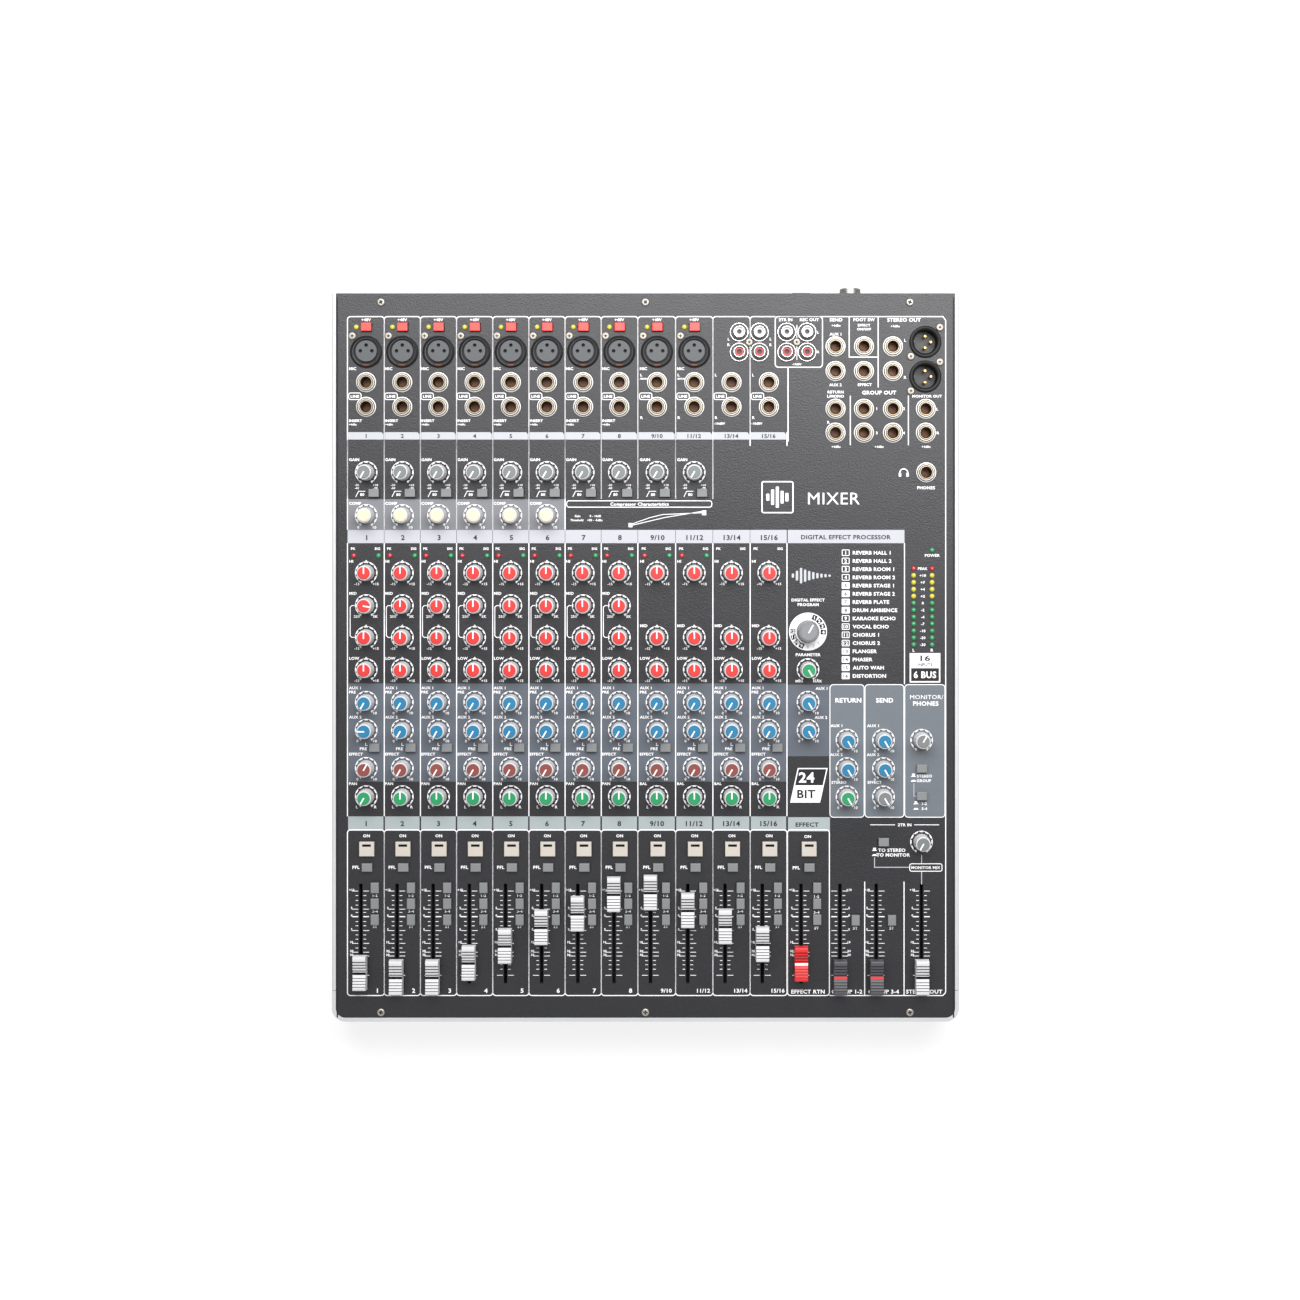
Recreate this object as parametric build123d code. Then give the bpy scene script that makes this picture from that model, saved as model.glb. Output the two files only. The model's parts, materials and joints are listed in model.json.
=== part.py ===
from build123d import *
import math
import os

# A table-top audio mixing console: sloping control panel, sockets along the rear,
# twelve input channels, effect, group and stereo faders along the front.
# Millimetres, +Z up, operator at -Y, resting surface at Z = 0.

# ---- case ----
BODY_WIDTH = 446.0            # across both side rails
PANEL_LENGTH = 518.0          # front edge to rear edge, measured up the slope
PANEL_SLOPE = 5.0             # degrees, rear edge high
FRONT_HEIGHT = 52.0           # resting surface to the panel face at the front edge
FOOT_HEIGHT = 6.0
FOOT_DIAMETER = 20.0
FOOT_INSET = 32.0             # foot centre from the case edges
PANEL_THICKNESS = 1.5
RAIL_THICKNESS = 2.8
RAIL_EDGE_RADIUS = 1.2
NOSE_LENGTH = 22.0            # how far the front trim wraps back along the sides
CORNER_RADIUS = 9.5           # plan radius of the front corners
SHEET = 1.2                   # base pan wall
REAR_SHEET = 1.5
LIP_DEPTH = 14.0              # screwed lips under the panel's front and rear edges
TRIM_GAP = 0.3                # groove between panel and trims

# ---- layout on the panel: x across, v up the slope from the panel's middle ----
MONO_COUNT = 8
MONO_FIRST_X = -198.6
MONO_PITCH = 25.72
STEREO_COUNT = 4
STEREO_FIRST_X = 8.2
STEREO_PITCH = 26.5
EFFECT_X = 115.6
COMP_CHANNELS = 6
MIC_CHANNELS = 10

MIC_V = 217.4
JACK_UPPER_V = 195.7
JACK_LOWER_V = 178.2
PHANTOM_V = 234.9
GAIN_V = 131.6
LOW_CUT_V = 117.0
COMP_V = 101.0
LEVEL_LAMP_V = 72.4
HI_V = 60.2
MID_FREQ_V = 36.9
MID_V = 14.3
LOW_V = -8.6
AUX1_V = -31.8
AUX2_V = -51.7
PRE_V = -64.0
EFFECT_V = -78.8
PAN_V = -98.9
ON_V = -136.0
PFL_V = -149.1
ASSIGN_V = -163.6
ASSIGN_PITCH = 11.3
FADER_MID_V = -196.3

# ---- faders ----
FADER_TRAVEL = 60.0
FADER_LEVER_WIDTH = 1.2
FADER_LEVER_LENGTH = 9.0
SLOT_WIDTH = 2.4
SLOT_END_GAP = 0.9
CAP_WIDTH = 9.8
CAP_LENGTH = 24.3
CAP_HEIGHT = 9.0
CAP_CLEARANCE = 2.0           # cap underside above the panel face
MONO_FADER_OFFSET = -3.8
STEREO_FADER_OFFSET = -4.6
FADER_BODY_WIDTH = 8.6
FADER_BODY_LENGTH = 84.0
FADER_BODY_TOP = -6.0

# ---- knobs ----
KNOB_DIAMETER = 12.0
KNOB_TOP_DIAMETER = 10.6
KNOB_CAP_DIAMETER = 8.8
KNOB_BODY_HEIGHT = 12.4
KNOB_CAP_HEIGHT = 1.4
KNOB_CLEARANCE = 0.6          # knob underside above the panel face
SELECTOR_DIAMETER = 16.0
SHAFT_DIAMETER = 6.0
SHAFT_GAP = 0.3
SHAFT_TOP = 9.0
SHAFT_BOTTOM = -14.0
POT_SIZE = 9.6
POT_TOP = -8.0
POT_BUSHING_DIAMETER = 8.4
POT_BUSHING_TOP = -2.2
PANEL_SHAFT_HOLE = 7.2

# ---- buttons: width across, length up the slope ----
WIDE_BUTTON = (7.4, 5.9)
ON_BUTTON = (10.6, 10.3)
ASSIGN_BUTTON = (5.8, 7.4)
BUTTON_TOP = 3.4
BUTTON_BOTTOM = -5.5
BUTTON_GAP = 0.3
BUTTON_EDGE_RADIUS = 0.5
SWITCH_SIZE = 6.2
SWITCH_TOP = -8.5

# ---- sockets ----
MIC_FLANGE_DIAMETER = 22.9
MIC_FLANGE_HEIGHT = 1.6
MIC_BARREL_DIAMETER = 20.8
MIC_BORE_DIAMETER = 19.4
MIC_INSERT_DIAMETER = 16.6
PIN_CIRCLE_RADIUS = 4.1
PIN_HOLE_DIAMETER = 2.8
PIN_DIAMETER = 2.4
CUP_DIAMETER = 16.4
CUP_DEPTH = 13.0
JACK_NUT_DIAMETER = 14.4
JACK_NUT_HEIGHT = 2.0
JACK_BUSHING_DIAMETER = 9.4
JACK_BUSHING_TOP = 2.6
JACK_BORE = 6.5
JACK_BODY_SIZE = 13.6
PHONO_COLLAR_DIAMETER = 13.2
PHONO_SLEEVE_DIAMETER = 8.3
PHONO_BORE = 3.2
LAMP_DIAMETER = 3.0
LAMP_TOP = 0.5                # cylinder height before the dome
SCREW_HEAD_DIAMETER = 5.6
SCREW_SHANK_DIAMETER = 3.0
HOLE_GAP = 0.2

# ---- boards and rear face ----
BOARD_TOP = -18.4
BOARD_THICKNESS = 1.6
INLET_X = 148.0
INLET_BELOW_REAR_EDGE = 36.0
INLET_REACH = 9.5             # how far the inlet sleeve stands off the rear face
INLET_SLEEVE_DIAMETER = 15.2
INLET_BORE = 12.4
INLET_CUP_DEPTH = 7.0
INLET_FLANGE = 21.0
ROCKER_X = 112.0
ROCKER_SIZE = (13.0, 19.0)    # across, up
ROCKER_FRAME = 2.5
ROCKER_TILT = 10.0            # degrees each side of square

# ---- derived ----
SLOPE = math.radians(PANEL_SLOPE)
BODY_DEPTH = PANEL_LENGTH * math.cos(SLOPE)
HALF_DEPTH = BODY_DEPTH / 2
HALF_WIDTH = BODY_WIDTH / 2
HALF_INSIDE = HALF_WIDTH - RAIL_THICKNESS
MID_HEIGHT = FRONT_HEIGHT + HALF_DEPTH * math.tan(SLOPE)
UNDERSIDE_DROP = PANEL_THICKNESS / math.cos(SLOPE)
Y_OFFSET = -INLET_REACH / 2   # puts the middle of the overall depth at Y = 0
FRONT_INSIDE = -HALF_DEPTH + RAIL_THICKNESS
FRONT_V = -PANEL_LENGTH / 2
REAR_V = PANEL_LENGTH / 2
PANEL = Plane(
    origin=(0, 0, MID_HEIGHT),
    x_dir=(1, 0, 0),
    z_dir=(0, -math.sin(SLOPE), math.cos(SLOPE)),
)


def mono_x(index):
    return MONO_FIRST_X + index * MONO_PITCH


def stereo_x(index):
    return STEREO_FIRST_X + index * STEREO_PITCH


MONO = [mono_x(i) for i in range(MONO_COUNT)]
STEREO = [stereo_x(i) for i in range(STEREO_COUNT)]
CHANNELS = MONO + STEREO
MIC_X = CHANNELS[:MIC_CHANNELS]
SCREW_X = [-188.0, 0.0, 188.0]
MASTER_X = [143.3, 169.3]
GROUP_FADER_X = [138.3, 164.1]
STEREO_FADER_X = 196.3
MONITOR_X = 196.4
PRINT_JACK_X = [135.1, 155.3, 175.9, 199.3]
XLR_OUT = [(199.0, 224.4), (199.0, 199.8)]
PHONO_X = [66.6, 81.0, 100.4, 114.8]
PHONO_WHITE_V = 231.3
PHONO_RED_V = 217.1
METER_X = [190.7, 203.8]
METER_ROWS = 12
METER_FIRST_V = 9.1
METER_PITCH = 4.92


def jack_points():
    """Every quarter-inch socket: two per channel, then the master section."""
    points = [(x, v) for x in CHANNELS for v in (JACK_UPPER_V, JACK_LOWER_V)]
    points += [(x, v) for x in PRINT_JACK_X[:3] for v in (221.2, 203.6)]
    points += [(x, v) for x in PRINT_JACK_X for v in (176.8, 159.8)]
    points.append((199.6, 131.6))
    return points


def fader_points():
    """Node name, x and rest position as a part of the travel, for every fader."""
    rest = [0.05, 0.0, 0.0, 0.17, 0.37, 0.59, 0.75, 0.98]
    faders = []
    for i in range(MONO_COUNT):
        faders.append(("fader_ch%d" % (i + 1), MONO[i] + MONO_FADER_OFFSET, rest[i]))
    rest = [1.0, 0.79, 0.60, 0.39]
    for i in range(STEREO_COUNT):
        name = "fader_ch%d_%d" % (9 + 2 * i, 10 + 2 * i)
        faders.append((name, STEREO[i] + STEREO_FADER_OFFSET, rest[i]))
    faders.append(("fader_effect", EFFECT_X - 5.0, 0.16))
    faders.append(("fader_group_1_2", GROUP_FADER_X[0], 0.0))
    faders.append(("fader_group_3_4", GROUP_FADER_X[1], 0.0))
    faders.append(("fader_stereo", STEREO_FADER_X, 0.0))
    return faders


def moving_knobs():
    """Node name, x, v and pointer angle (clockwise from straight up) of each jointed knob."""
    x = MONO[0]
    return [
        ("knob_gain_ch1", x, GAIN_V, -150.0),
        ("knob_comp_ch1", x, COMP_V, -150.0),
        ("knob_high_ch1", x, HI_V, 0.0),
        ("knob_mid_freq_ch1", x, MID_FREQ_V, 100.0),
        ("knob_mid_ch1", x, MID_V, 0.0),
        ("knob_low_ch1", x, LOW_V, 0.0),
        ("knob_aux1_ch1", x, AUX1_V, -150.0),
        ("knob_aux2_ch1", x, AUX2_V, -90.0),
        ("knob_effect_ch1", x, EFFECT_V, 30.0),
        ("knob_pan_ch1", x, PAN_V, -150.0),
        ("knob_program", EFFECT_X, 18.4, 30.0),
        ("knob_monitor", MONITOR_X, -58.8, 30.0),
    ]


def fixed_knobs():
    """Colour name against (x, v, pointer angle) of every knob that shares a node."""
    rest = CHANNELS[1:]
    mono = MONO[1:]
    red = [(x, v, 0.0) for x in rest for v in (HI_V, MID_V, LOW_V)]
    red += [(x, MID_FREQ_V, 0.0) for x in mono]
    blue = [(x, v, -150.0) for x in rest for v in (AUX1_V, AUX2_V)]
    blue += [(EFFECT_X, v, 150.0) for v in (AUX1_V, AUX2_V)]
    blue += [(x, v, 150.0) for x in MASTER_X for v in (-58.8, -79.0)]
    brown = [(x, EFFECT_V, -150.0) for x in rest]
    green = [(x, PAN_V, 0.0) for x in rest]
    green += [(EFFECT_X, LOW_V, 150.0), (MASTER_X[0], -99.1, 150.0)]
    cream = [(x, COMP_V, -150.0) for x in MONO[1:COMP_CHANNELS]]
    grey = [(x, GAIN_V, -150.0) for x in MIC_X[1:]]
    grey += [(MASTER_X[1], -99.1, 150.0), (STEREO_FADER_X, -131.2, -150.0)]
    return {
        "knobs_red": red,
        "knobs_blue": blue,
        "knobs_brown": brown,
        "knobs_green": green,
        "knobs_cream": cream,
        "knobs_grey": grey,
    }


def button_points():
    """Group node against button size and (x, v) of every push button."""
    phantom = [(x + 0.3, PHANTOM_V) for x in MIC_X]
    small = [(x + 5.6, LOW_CUT_V) for x in MIC_X]
    small += [(x + 6.1, PRE_V) for x in CHANNELS]
    small += [(x + 0.9, PFL_V) for x in CHANNELS + [EFFECT_X]]
    small += [(MONITOR_X, -78.8), (MONITOR_X, -98.4), (MASTER_X[1], -131.1)]
    on = [(x + 0.7, ON_V) for x in CHANNELS + [EFFECT_X]]
    assign = [
        (x + 6.4, ASSIGN_V - row * ASSIGN_PITCH)
        for x in CHANNELS + [EFFECT_X]
        for row in range(3)
    ]
    assign += [(x + 11.0, -186.6) for x in GROUP_FADER_X]
    return {
        "buttons_phantom": (WIDE_BUTTON, phantom),
        "buttons_small": (WIDE_BUTTON, small),
        "buttons_on": (ON_BUTTON, on),
        "buttons_assign": (ASSIGN_BUTTON, assign),
    }


def lamp_points():
    points = [(x - 7.0, PHANTOM_V) for x in MIC_X]
    points += [(x + side, LEVEL_LAMP_V) for x in MIC_X for side in (-8.8, 8.8)]
    points += [(x, METER_FIRST_V + row * METER_PITCH) for x in METER_X for row in range(METER_ROWS)]
    points.append((METER_X[1], 76.3))
    return points


def socket_screw_points():
    points = [(x - 9.8, MIC_V + 11.2) for x in MIC_X]
    points += [(x + 10.3, v + 10.3) for x, v in XLR_OUT]
    points += [(x - 10.3, v - 10.3) for x, v in XLR_OUT]
    points += [(PHONO_X[i] + 7.2, 224.2) for i in (0, 2)]
    return points


def panel_screw_points():
    return [(x, v) for x in SCREW_X for v in (-252.2, 252.6)]


# ---- helpers ----


def on_panel(shape):
    """Move a shape made about the panel's own frame onto the sloping panel."""
    return PANEL.location * shape


def copies(shape, points):
    """One copy of the shape at every (x, v) on the panel."""
    return [on_panel(Pos(x, v, 0) * shape) for x, v in points]


def rod(diameter, bottom, top):
    """Round bar about the local Z axis between two heights."""
    height = top - bottom
    return Pos(0, 0, bottom + height / 2) * Cylinder(diameter / 2, height)


def slab(width, length, bottom, top):
    """Rectangular bar about the local Z axis between two heights."""
    height = top - bottom
    return Pos(0, 0, bottom + height / 2) * Box(width, length, height)


def panel_height(y, drop=0.0):
    """Height of the panel face, less a drop, at a depth y."""
    return MID_HEIGHT + y * math.tan(SLOPE) - drop


def wedge(half_width, y_front, y_rear, bottom, drop):
    """Block under the sloping panel: flat bottom, top parallel to the panel face."""
    points = [
        (-half_width, y_front, bottom),
        (-half_width, y_rear, bottom),
        (-half_width, y_rear, panel_height(y_rear, drop)),
        (-half_width, y_front, panel_height(y_front, drop)),
    ]
    face = make_face(Polyline(*points, close=True))
    return extrude(face, 2 * half_width, dir=(1, 0, 0))


def round_front(block, radius):
    """Round the two upright front corners of a block."""
    edges = block.edges().filter_by(Axis.Z).group_by(Axis.Y)[0]
    return fillet(edges, radius)


# ---- case ----


def build_top_panel():
    """Flat sheet with every opening that the controls and sockets come up through."""
    front = FRONT_V + RAIL_THICKNESS + TRIM_GAP
    width = 2 * (HALF_INSIDE - TRIM_GAP)
    length = REAR_V - front
    blank = Pos(0, (front + REAR_V) / 2) * Rectangle(width, length)
    front_corners = blank.vertices().group_by(Axis.Y)[0]
    blank = fillet(front_corners, CORNER_RADIUS - RAIL_THICKNESS - TRIM_GAP)
    holes = []
    holes += [Pos(x, v) * Circle(MIC_BARREL_DIAMETER / 2 + HOLE_GAP) for x in MIC_X for v in (MIC_V,)]
    holes += [Pos(x, v) * Circle(MIC_BARREL_DIAMETER / 2 + HOLE_GAP) for x, v in XLR_OUT]
    jack_hole = Circle(JACK_BUSHING_DIAMETER / 2 + HOLE_GAP)
    holes += [Pos(x, v) * jack_hole for x, v in jack_points()]
    phono_hole = Circle(PHONO_SLEEVE_DIAMETER / 2 + HOLE_GAP)
    holes += [Pos(x, v) * phono_hole for x, v in phono_points()]
    shaft_hole = Circle(PANEL_SHAFT_HOLE / 2)
    holes += [Pos(x, v) * shaft_hole for x, v in knob_points()]
    lamp_hole = Circle(LAMP_DIAMETER / 2 + HOLE_GAP)
    holes += [Pos(x, v) * lamp_hole for x, v in lamp_points()]
    screw_hole = Circle(SCREW_SHANK_DIAMETER / 2 + HOLE_GAP)
    holes += [Pos(x, v) * screw_hole for x, v in panel_screw_points() + socket_screw_points()]
    for size, points in button_points().values():
        hole = Rectangle(size[0] + 2 * BUTTON_GAP, size[1] + 2 * BUTTON_GAP)
        holes += [Pos(x, v) * hole for x, v in points]
    slot_length = FADER_TRAVEL + FADER_LEVER_LENGTH + 2 * SLOT_END_GAP
    slot = Rectangle(SLOT_WIDTH, slot_length)
    holes += [Pos(x, FADER_MID_V) * slot for _, x, _ in fader_points()]
    sheet = extrude(blank - holes, PANEL_THICKNESS)
    return on_panel(Pos(0, 0, -PANEL_THICKNESS) * sheet)


def build_base_pan():
    """Folded tray: floor, two sides, front wall and a lip under the panel's front edge."""
    rear = HALF_DEPTH - REAR_SHEET
    outer = wedge(HALF_INSIDE, FRONT_INSIDE, rear, FOOT_HEIGHT, UNDERSIDE_DROP)
    outer = round_front(outer, CORNER_RADIUS - RAIL_THICKNESS)
    inside_half = HALF_INSIDE - SHEET
    inner = wedge(inside_half, FRONT_INSIDE + SHEET, rear + SHEET, FOOT_HEIGHT + SHEET, -SHEET)
    inner = round_front(inner, CORNER_RADIUS - RAIL_THICKNESS - SHEET)
    return outer - inner + front_lip()


def front_lip():
    """Strip folded back under the panel, with a hole for each front screw."""
    front = FRONT_V + RAIL_THICKNESS + SHEET
    strip = Pos(0, front + LIP_DEPTH / 2) * Rectangle(2 * HALF_INSIDE - 24, LIP_DEPTH + 2 * SHEET)
    hole = Circle(SCREW_SHANK_DIAMETER / 2)
    strip = strip - [Pos(x, v) * hole for x, v in panel_screw_points() if v < 0]
    plate = on_panel(Pos(0, 0, -PANEL_THICKNESS - SHEET) * extrude(strip, SHEET))
    keep = wedge(HALF_INSIDE, FRONT_INSIDE + SHEET / 2, 0, FOOT_HEIGHT, UNDERSIDE_DROP)
    return plate & keep


def build_rear_panel():
    """Upright rear sheet with the inlet and switch openings, and a lip under the panel."""
    top = panel_height(HALF_DEPTH - REAR_SHEET, UNDERSIDE_DROP)
    height = top - FOOT_HEIGHT
    sheet = Pos(0, HALF_DEPTH - REAR_SHEET / 2, FOOT_HEIGHT + height / 2) * Box(
        2 * HALF_INSIDE, REAR_SHEET, height
    )
    strip = Pos(0, REAR_V - LIP_DEPTH / 2) * Rectangle(2 * HALF_INSIDE - 24, LIP_DEPTH)
    hole = Circle(SCREW_SHANK_DIAMETER / 2)
    strip = strip - [Pos(x, v) * hole for x, v in panel_screw_points() if v > 0]
    lip = on_panel(Pos(0, 0, -PANEL_THICKNESS - SHEET) * extrude(strip, SHEET))
    keep = wedge(HALF_INSIDE, 0, HALF_DEPTH - REAR_SHEET / 2, FOOT_HEIGHT, UNDERSIDE_DROP)
    sheet = sheet + (lip & keep)
    inlet_hole = rear_location(INLET_X) * rod(INLET_SLEEVE_DIAMETER + 2 * HOLE_GAP, -5, 5)
    rocker_hole = rear_location(ROCKER_X) * Box(
        ROCKER_SIZE[0] + 2 * ROCKER_FRAME + 2 * HOLE_GAP,
        ROCKER_SIZE[1] + 2 * ROCKER_FRAME + 2 * HOLE_GAP,
        10,
    )
    return sheet - inlet_hole - rocker_hole


def build_side_rail(side):
    """Moulded strip along one side, from the front trim to the rear face."""
    front = -HALF_DEPTH + NOSE_LENGTH + TRIM_GAP
    strip = wedge(RAIL_THICKNESS / 2, front, HALF_DEPTH, FOOT_HEIGHT, 0.0)
    outside = strip.faces().sort_by(Axis.X)[-1]
    rail = fillet(outside.edges().filter_by(Axis.Z, reverse=True), RAIL_EDGE_RADIUS)
    if side < 0:
        rail = mirror(rail, about=Plane.YZ)
    return Pos(side * (HALF_WIDTH - RAIL_THICKNESS / 2), 0, 0) * rail


def build_front_trim():
    """Moulded nose that wraps the front edge and both front corners."""
    rear = -HALF_DEPTH + NOSE_LENGTH
    block = wedge(HALF_WIDTH, -HALF_DEPTH, rear, FOOT_HEIGHT, 0.0)
    block = round_front(block, CORNER_RADIUS)
    inner = wedge(HALF_INSIDE, FRONT_INSIDE, rear + 10, FOOT_HEIGHT - 1, -10)
    inner = round_front(inner, CORNER_RADIUS - RAIL_THICKNESS)
    return block - inner


def build_feet():
    """Four turned rubber feet under the pan."""
    foot = rod(FOOT_DIAMETER, 0, FOOT_HEIGHT)
    foot = chamfer(foot.edges().group_by(Axis.Z)[0], 1.2)
    x = HALF_WIDTH - FOOT_INSET
    y = HALF_DEPTH - FOOT_INSET
    return [Pos(sx * x, sy * y, 0) * foot for sx in (-1, 1) for sy in (-1, 1)]


def pan_screw(shank_length):
    """Dished-head screw about the local Z axis, head on Z = 0."""
    head = rod(SCREW_HEAD_DIAMETER, 0, 1.6)
    head = fillet(head.edges().group_by(Axis.Z)[-1], 1.0)
    cross = Pos(0, 0, 1.6) * (Box(2.8, 0.7, 1.4) + Box(0.7, 2.8, 1.4))
    return head + rod(SCREW_SHANK_DIAMETER - 0.1, -shank_length, 0) - cross


# ---- knobs and their potentiometers ----


def knob_points():
    points = [(x, v) for _, x, v, _ in moving_knobs()]
    for group in fixed_knobs().values():
        points += [(x, v) for x, v, _ in group]
    return points


def knob(diameter, angle):
    """Tapered knob with a raised cap and a pointer rib, bored for its shaft."""
    grow = diameter - KNOB_DIAMETER
    bottom = KNOB_CLEARANCE
    top = bottom + KNOB_BODY_HEIGHT
    lower = Plane.XY.offset(bottom) * Circle(diameter / 2)
    upper = Plane.XY.offset(top) * Circle((KNOB_TOP_DIAMETER + grow) / 2)
    body = loft([lower, upper])
    cap_diameter = KNOB_CAP_DIAMETER + grow
    cap = rod(cap_diameter, top - 0.5, top + KNOB_CAP_HEIGHT)
    cap = chamfer(cap.edges().group_by(Axis.Z)[-1], 0.4)
    pointer = Pos(0, cap_diameter / 4, top + KNOB_CAP_HEIGHT) * Box(1.0, cap_diameter / 2 - 0.4, 0.5)
    bore = rod(SHAFT_DIAMETER, -1, SHAFT_TOP)
    return Rot(0, 0, -angle) * (body + cap + pointer - bore)


def shaft(bottom):
    return rod(SHAFT_DIAMETER, bottom, SHAFT_TOP)


def build_moving_knob(x, v, angle):
    """A knob and the shaft it is pressed on, which turn as one."""
    diameter = SELECTOR_DIAMETER if v == 18.4 else KNOB_DIAMETER
    return copies(knob(diameter, angle), [(x, v)]) + copies(shaft(SHAFT_BOTTOM), [(x, v)])


def build_knob_group(entries):
    shapes = []
    for x, v, angle in entries:
        shapes += copies(knob(KNOB_DIAMETER, angle), [(x, v)])
    return shapes


def build_pots():
    """Potentiometer bodies standing on the board; fixed shafts for knobs that share a node."""
    case = slab(POT_SIZE, POT_SIZE, BOARD_TOP, POT_TOP)
    case = case + rod(POT_BUSHING_DIAMETER, POT_TOP, POT_BUSHING_TOP)
    open_case = case - rod(SHAFT_DIAMETER + 2 * SHAFT_GAP, SHAFT_BOTTOM - SHAFT_GAP, 0)
    bodies = copies(open_case, [(x, v) for _, x, v, _ in moving_knobs()])
    solid_pot = case + rod(SHAFT_DIAMETER, POT_TOP, SHAFT_TOP)
    for group in fixed_knobs().values():
        bodies += copies(solid_pot, [(x, v) for x, v, _ in group])
    return bodies


# ---- faders ----


def build_fader(x, rest):
    """Finger cap and the blade it is pressed on, at the rest position."""
    bottom = CAP_CLEARANCE
    top = bottom + CAP_HEIGHT
    v = FADER_MID_V + (rest - 0.5) * FADER_TRAVEL
    base = Plane.XY.offset(bottom) * Rectangle(CAP_WIDTH, CAP_LENGTH)
    crown = Plane.XY.offset(top) * Rectangle(CAP_WIDTH - 1.0, CAP_LENGTH - 2.0)
    cap = loft([base, crown])
    dish = Pos(0, 0, top + 17.0) * Rot(0, 90, 0) * Cylinder(18.2, CAP_WIDTH + 2)
    line = Pos(0, 0, top) * Box(CAP_WIDTH + 2, 0.9, 3.0)
    socket = slab(FADER_LEVER_WIDTH, FADER_LEVER_LENGTH, 0, bottom + 5.0)
    cap = cap - dish - line - socket
    blade = slab(FADER_LEVER_WIDTH, FADER_LEVER_LENGTH, FADER_BODY_TOP - 5.0, bottom + 5.0)
    return copies(cap, [(x, v)]) + copies(blade, [(x, v)])


def build_fader_bodies():
    """Slide potentiometer cans on the board, each open along the top for its blade."""
    can = slab(FADER_BODY_WIDTH, FADER_BODY_LENGTH, BOARD_TOP, FADER_BODY_TOP)
    slot_length = FADER_TRAVEL + FADER_LEVER_LENGTH + 2 * SLOT_END_GAP
    can = can - slab(SLOT_WIDTH, slot_length, FADER_BODY_TOP - 8.0, 0)
    return copies(can, [(x, FADER_MID_V) for _, x, _ in fader_points()])


# ---- buttons ----


def build_buttons(size, points):
    """Push caps with their plungers, standing in the panel openings."""
    cap = slab(size[0], size[1], BUTTON_BOTTOM, BUTTON_TOP)
    cap = fillet(cap.edges().group_by(Axis.Z)[-1], BUTTON_EDGE_RADIUS)
    return copies(cap, points)


def build_switches():
    body = slab(SWITCH_SIZE, SWITCH_SIZE, BOARD_TOP, SWITCH_TOP)
    shapes = []
    for _, points in button_points().values():
        shapes += copies(body, points)
    return shapes


# ---- sockets and lamps ----


def pin_positions():
    return [
        (PIN_CIRCLE_RADIUS * math.cos(math.radians(a)), PIN_CIRCLE_RADIUS * math.sin(math.radians(a)))
        for a in (0, 90, 180)
    ]


def build_mic_sockets():
    """Three-pole female socket: flanged shell and the insert with its three contact holes."""
    shell = rod(MIC_FLANGE_DIAMETER, 0, MIC_FLANGE_HEIGHT)
    shell = chamfer(shell.edges().group_by(Axis.Z)[-1], 0.8)
    shell = shell + rod(MIC_BARREL_DIAMETER, BOARD_TOP, 0)
    shell = shell - rod(MIC_BORE_DIAMETER, BOARD_TOP + 2, MIC_FLANGE_HEIGHT + 1)
    insert = rod(MIC_INSERT_DIAMETER, BOARD_TOP + 2, MIC_FLANGE_HEIGHT - 1.2)
    hole = rod(PIN_HOLE_DIAMETER, BOARD_TOP + 6, MIC_FLANGE_HEIGHT)
    insert = insert - [Pos(px, py, 0) * hole for px, py in pin_positions()]
    points = [(x, MIC_V) for x in MIC_X]
    return copies(shell, points) + copies(insert, points)


def build_xlr_outputs():
    """Three-pole male socket: a cup with three pins standing on its floor."""
    shell = rod(MIC_FLANGE_DIAMETER, 0, MIC_FLANGE_HEIGHT)
    shell = chamfer(shell.edges().group_by(Axis.Z)[-1], 0.5)
    shell = shell + rod(MIC_BARREL_DIAMETER, BOARD_TOP, 0)
    floor = MIC_FLANGE_HEIGHT - CUP_DEPTH
    shell = shell - rod(CUP_DIAMETER, floor, MIC_FLANGE_HEIGHT + 1)
    pin = rod(PIN_DIAMETER, floor, -1.5)
    pin = chamfer(pin.edges().group_by(Axis.Z)[-1], 0.5)
    shapes = copies(shell, XLR_OUT)
    for px, py in pin_positions():
        shapes += copies(Pos(py, px, 0) * pin, XLR_OUT)
    return shapes


def build_jacks():
    """Quarter-inch sockets: square body on the board and a bored bushing through the panel."""
    body = slab(JACK_BODY_SIZE, JACK_BODY_SIZE, BOARD_TOP, -PANEL_THICKNESS)
    body = body + rod(JACK_BUSHING_DIAMETER, -PANEL_THICKNESS, JACK_BUSHING_TOP)
    body = body - rod(JACK_BORE, BOARD_TOP + 1.5, JACK_BUSHING_TOP + 1)
    mouth = body.edges().filter_by(GeomType.CIRCLE).group_by(Axis.Z)[-1].sort_by(SortBy.RADIUS)[0]
    body = chamfer(mouth, 0.6)
    return copies(body, jack_points())


def build_jack_nuts():
    nut = rod(JACK_NUT_DIAMETER, 0, JACK_NUT_HEIGHT)
    nut = chamfer(nut.edges().group_by(Axis.Z)[-1], 0.5)
    nut = nut - rod(JACK_BUSHING_DIAMETER, -1, JACK_NUT_HEIGHT + 1)
    return copies(nut, jack_points())


def phono_points():
    return [(x, v) for x in PHONO_X for v in (PHONO_WHITE_V, PHONO_RED_V)]


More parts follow.
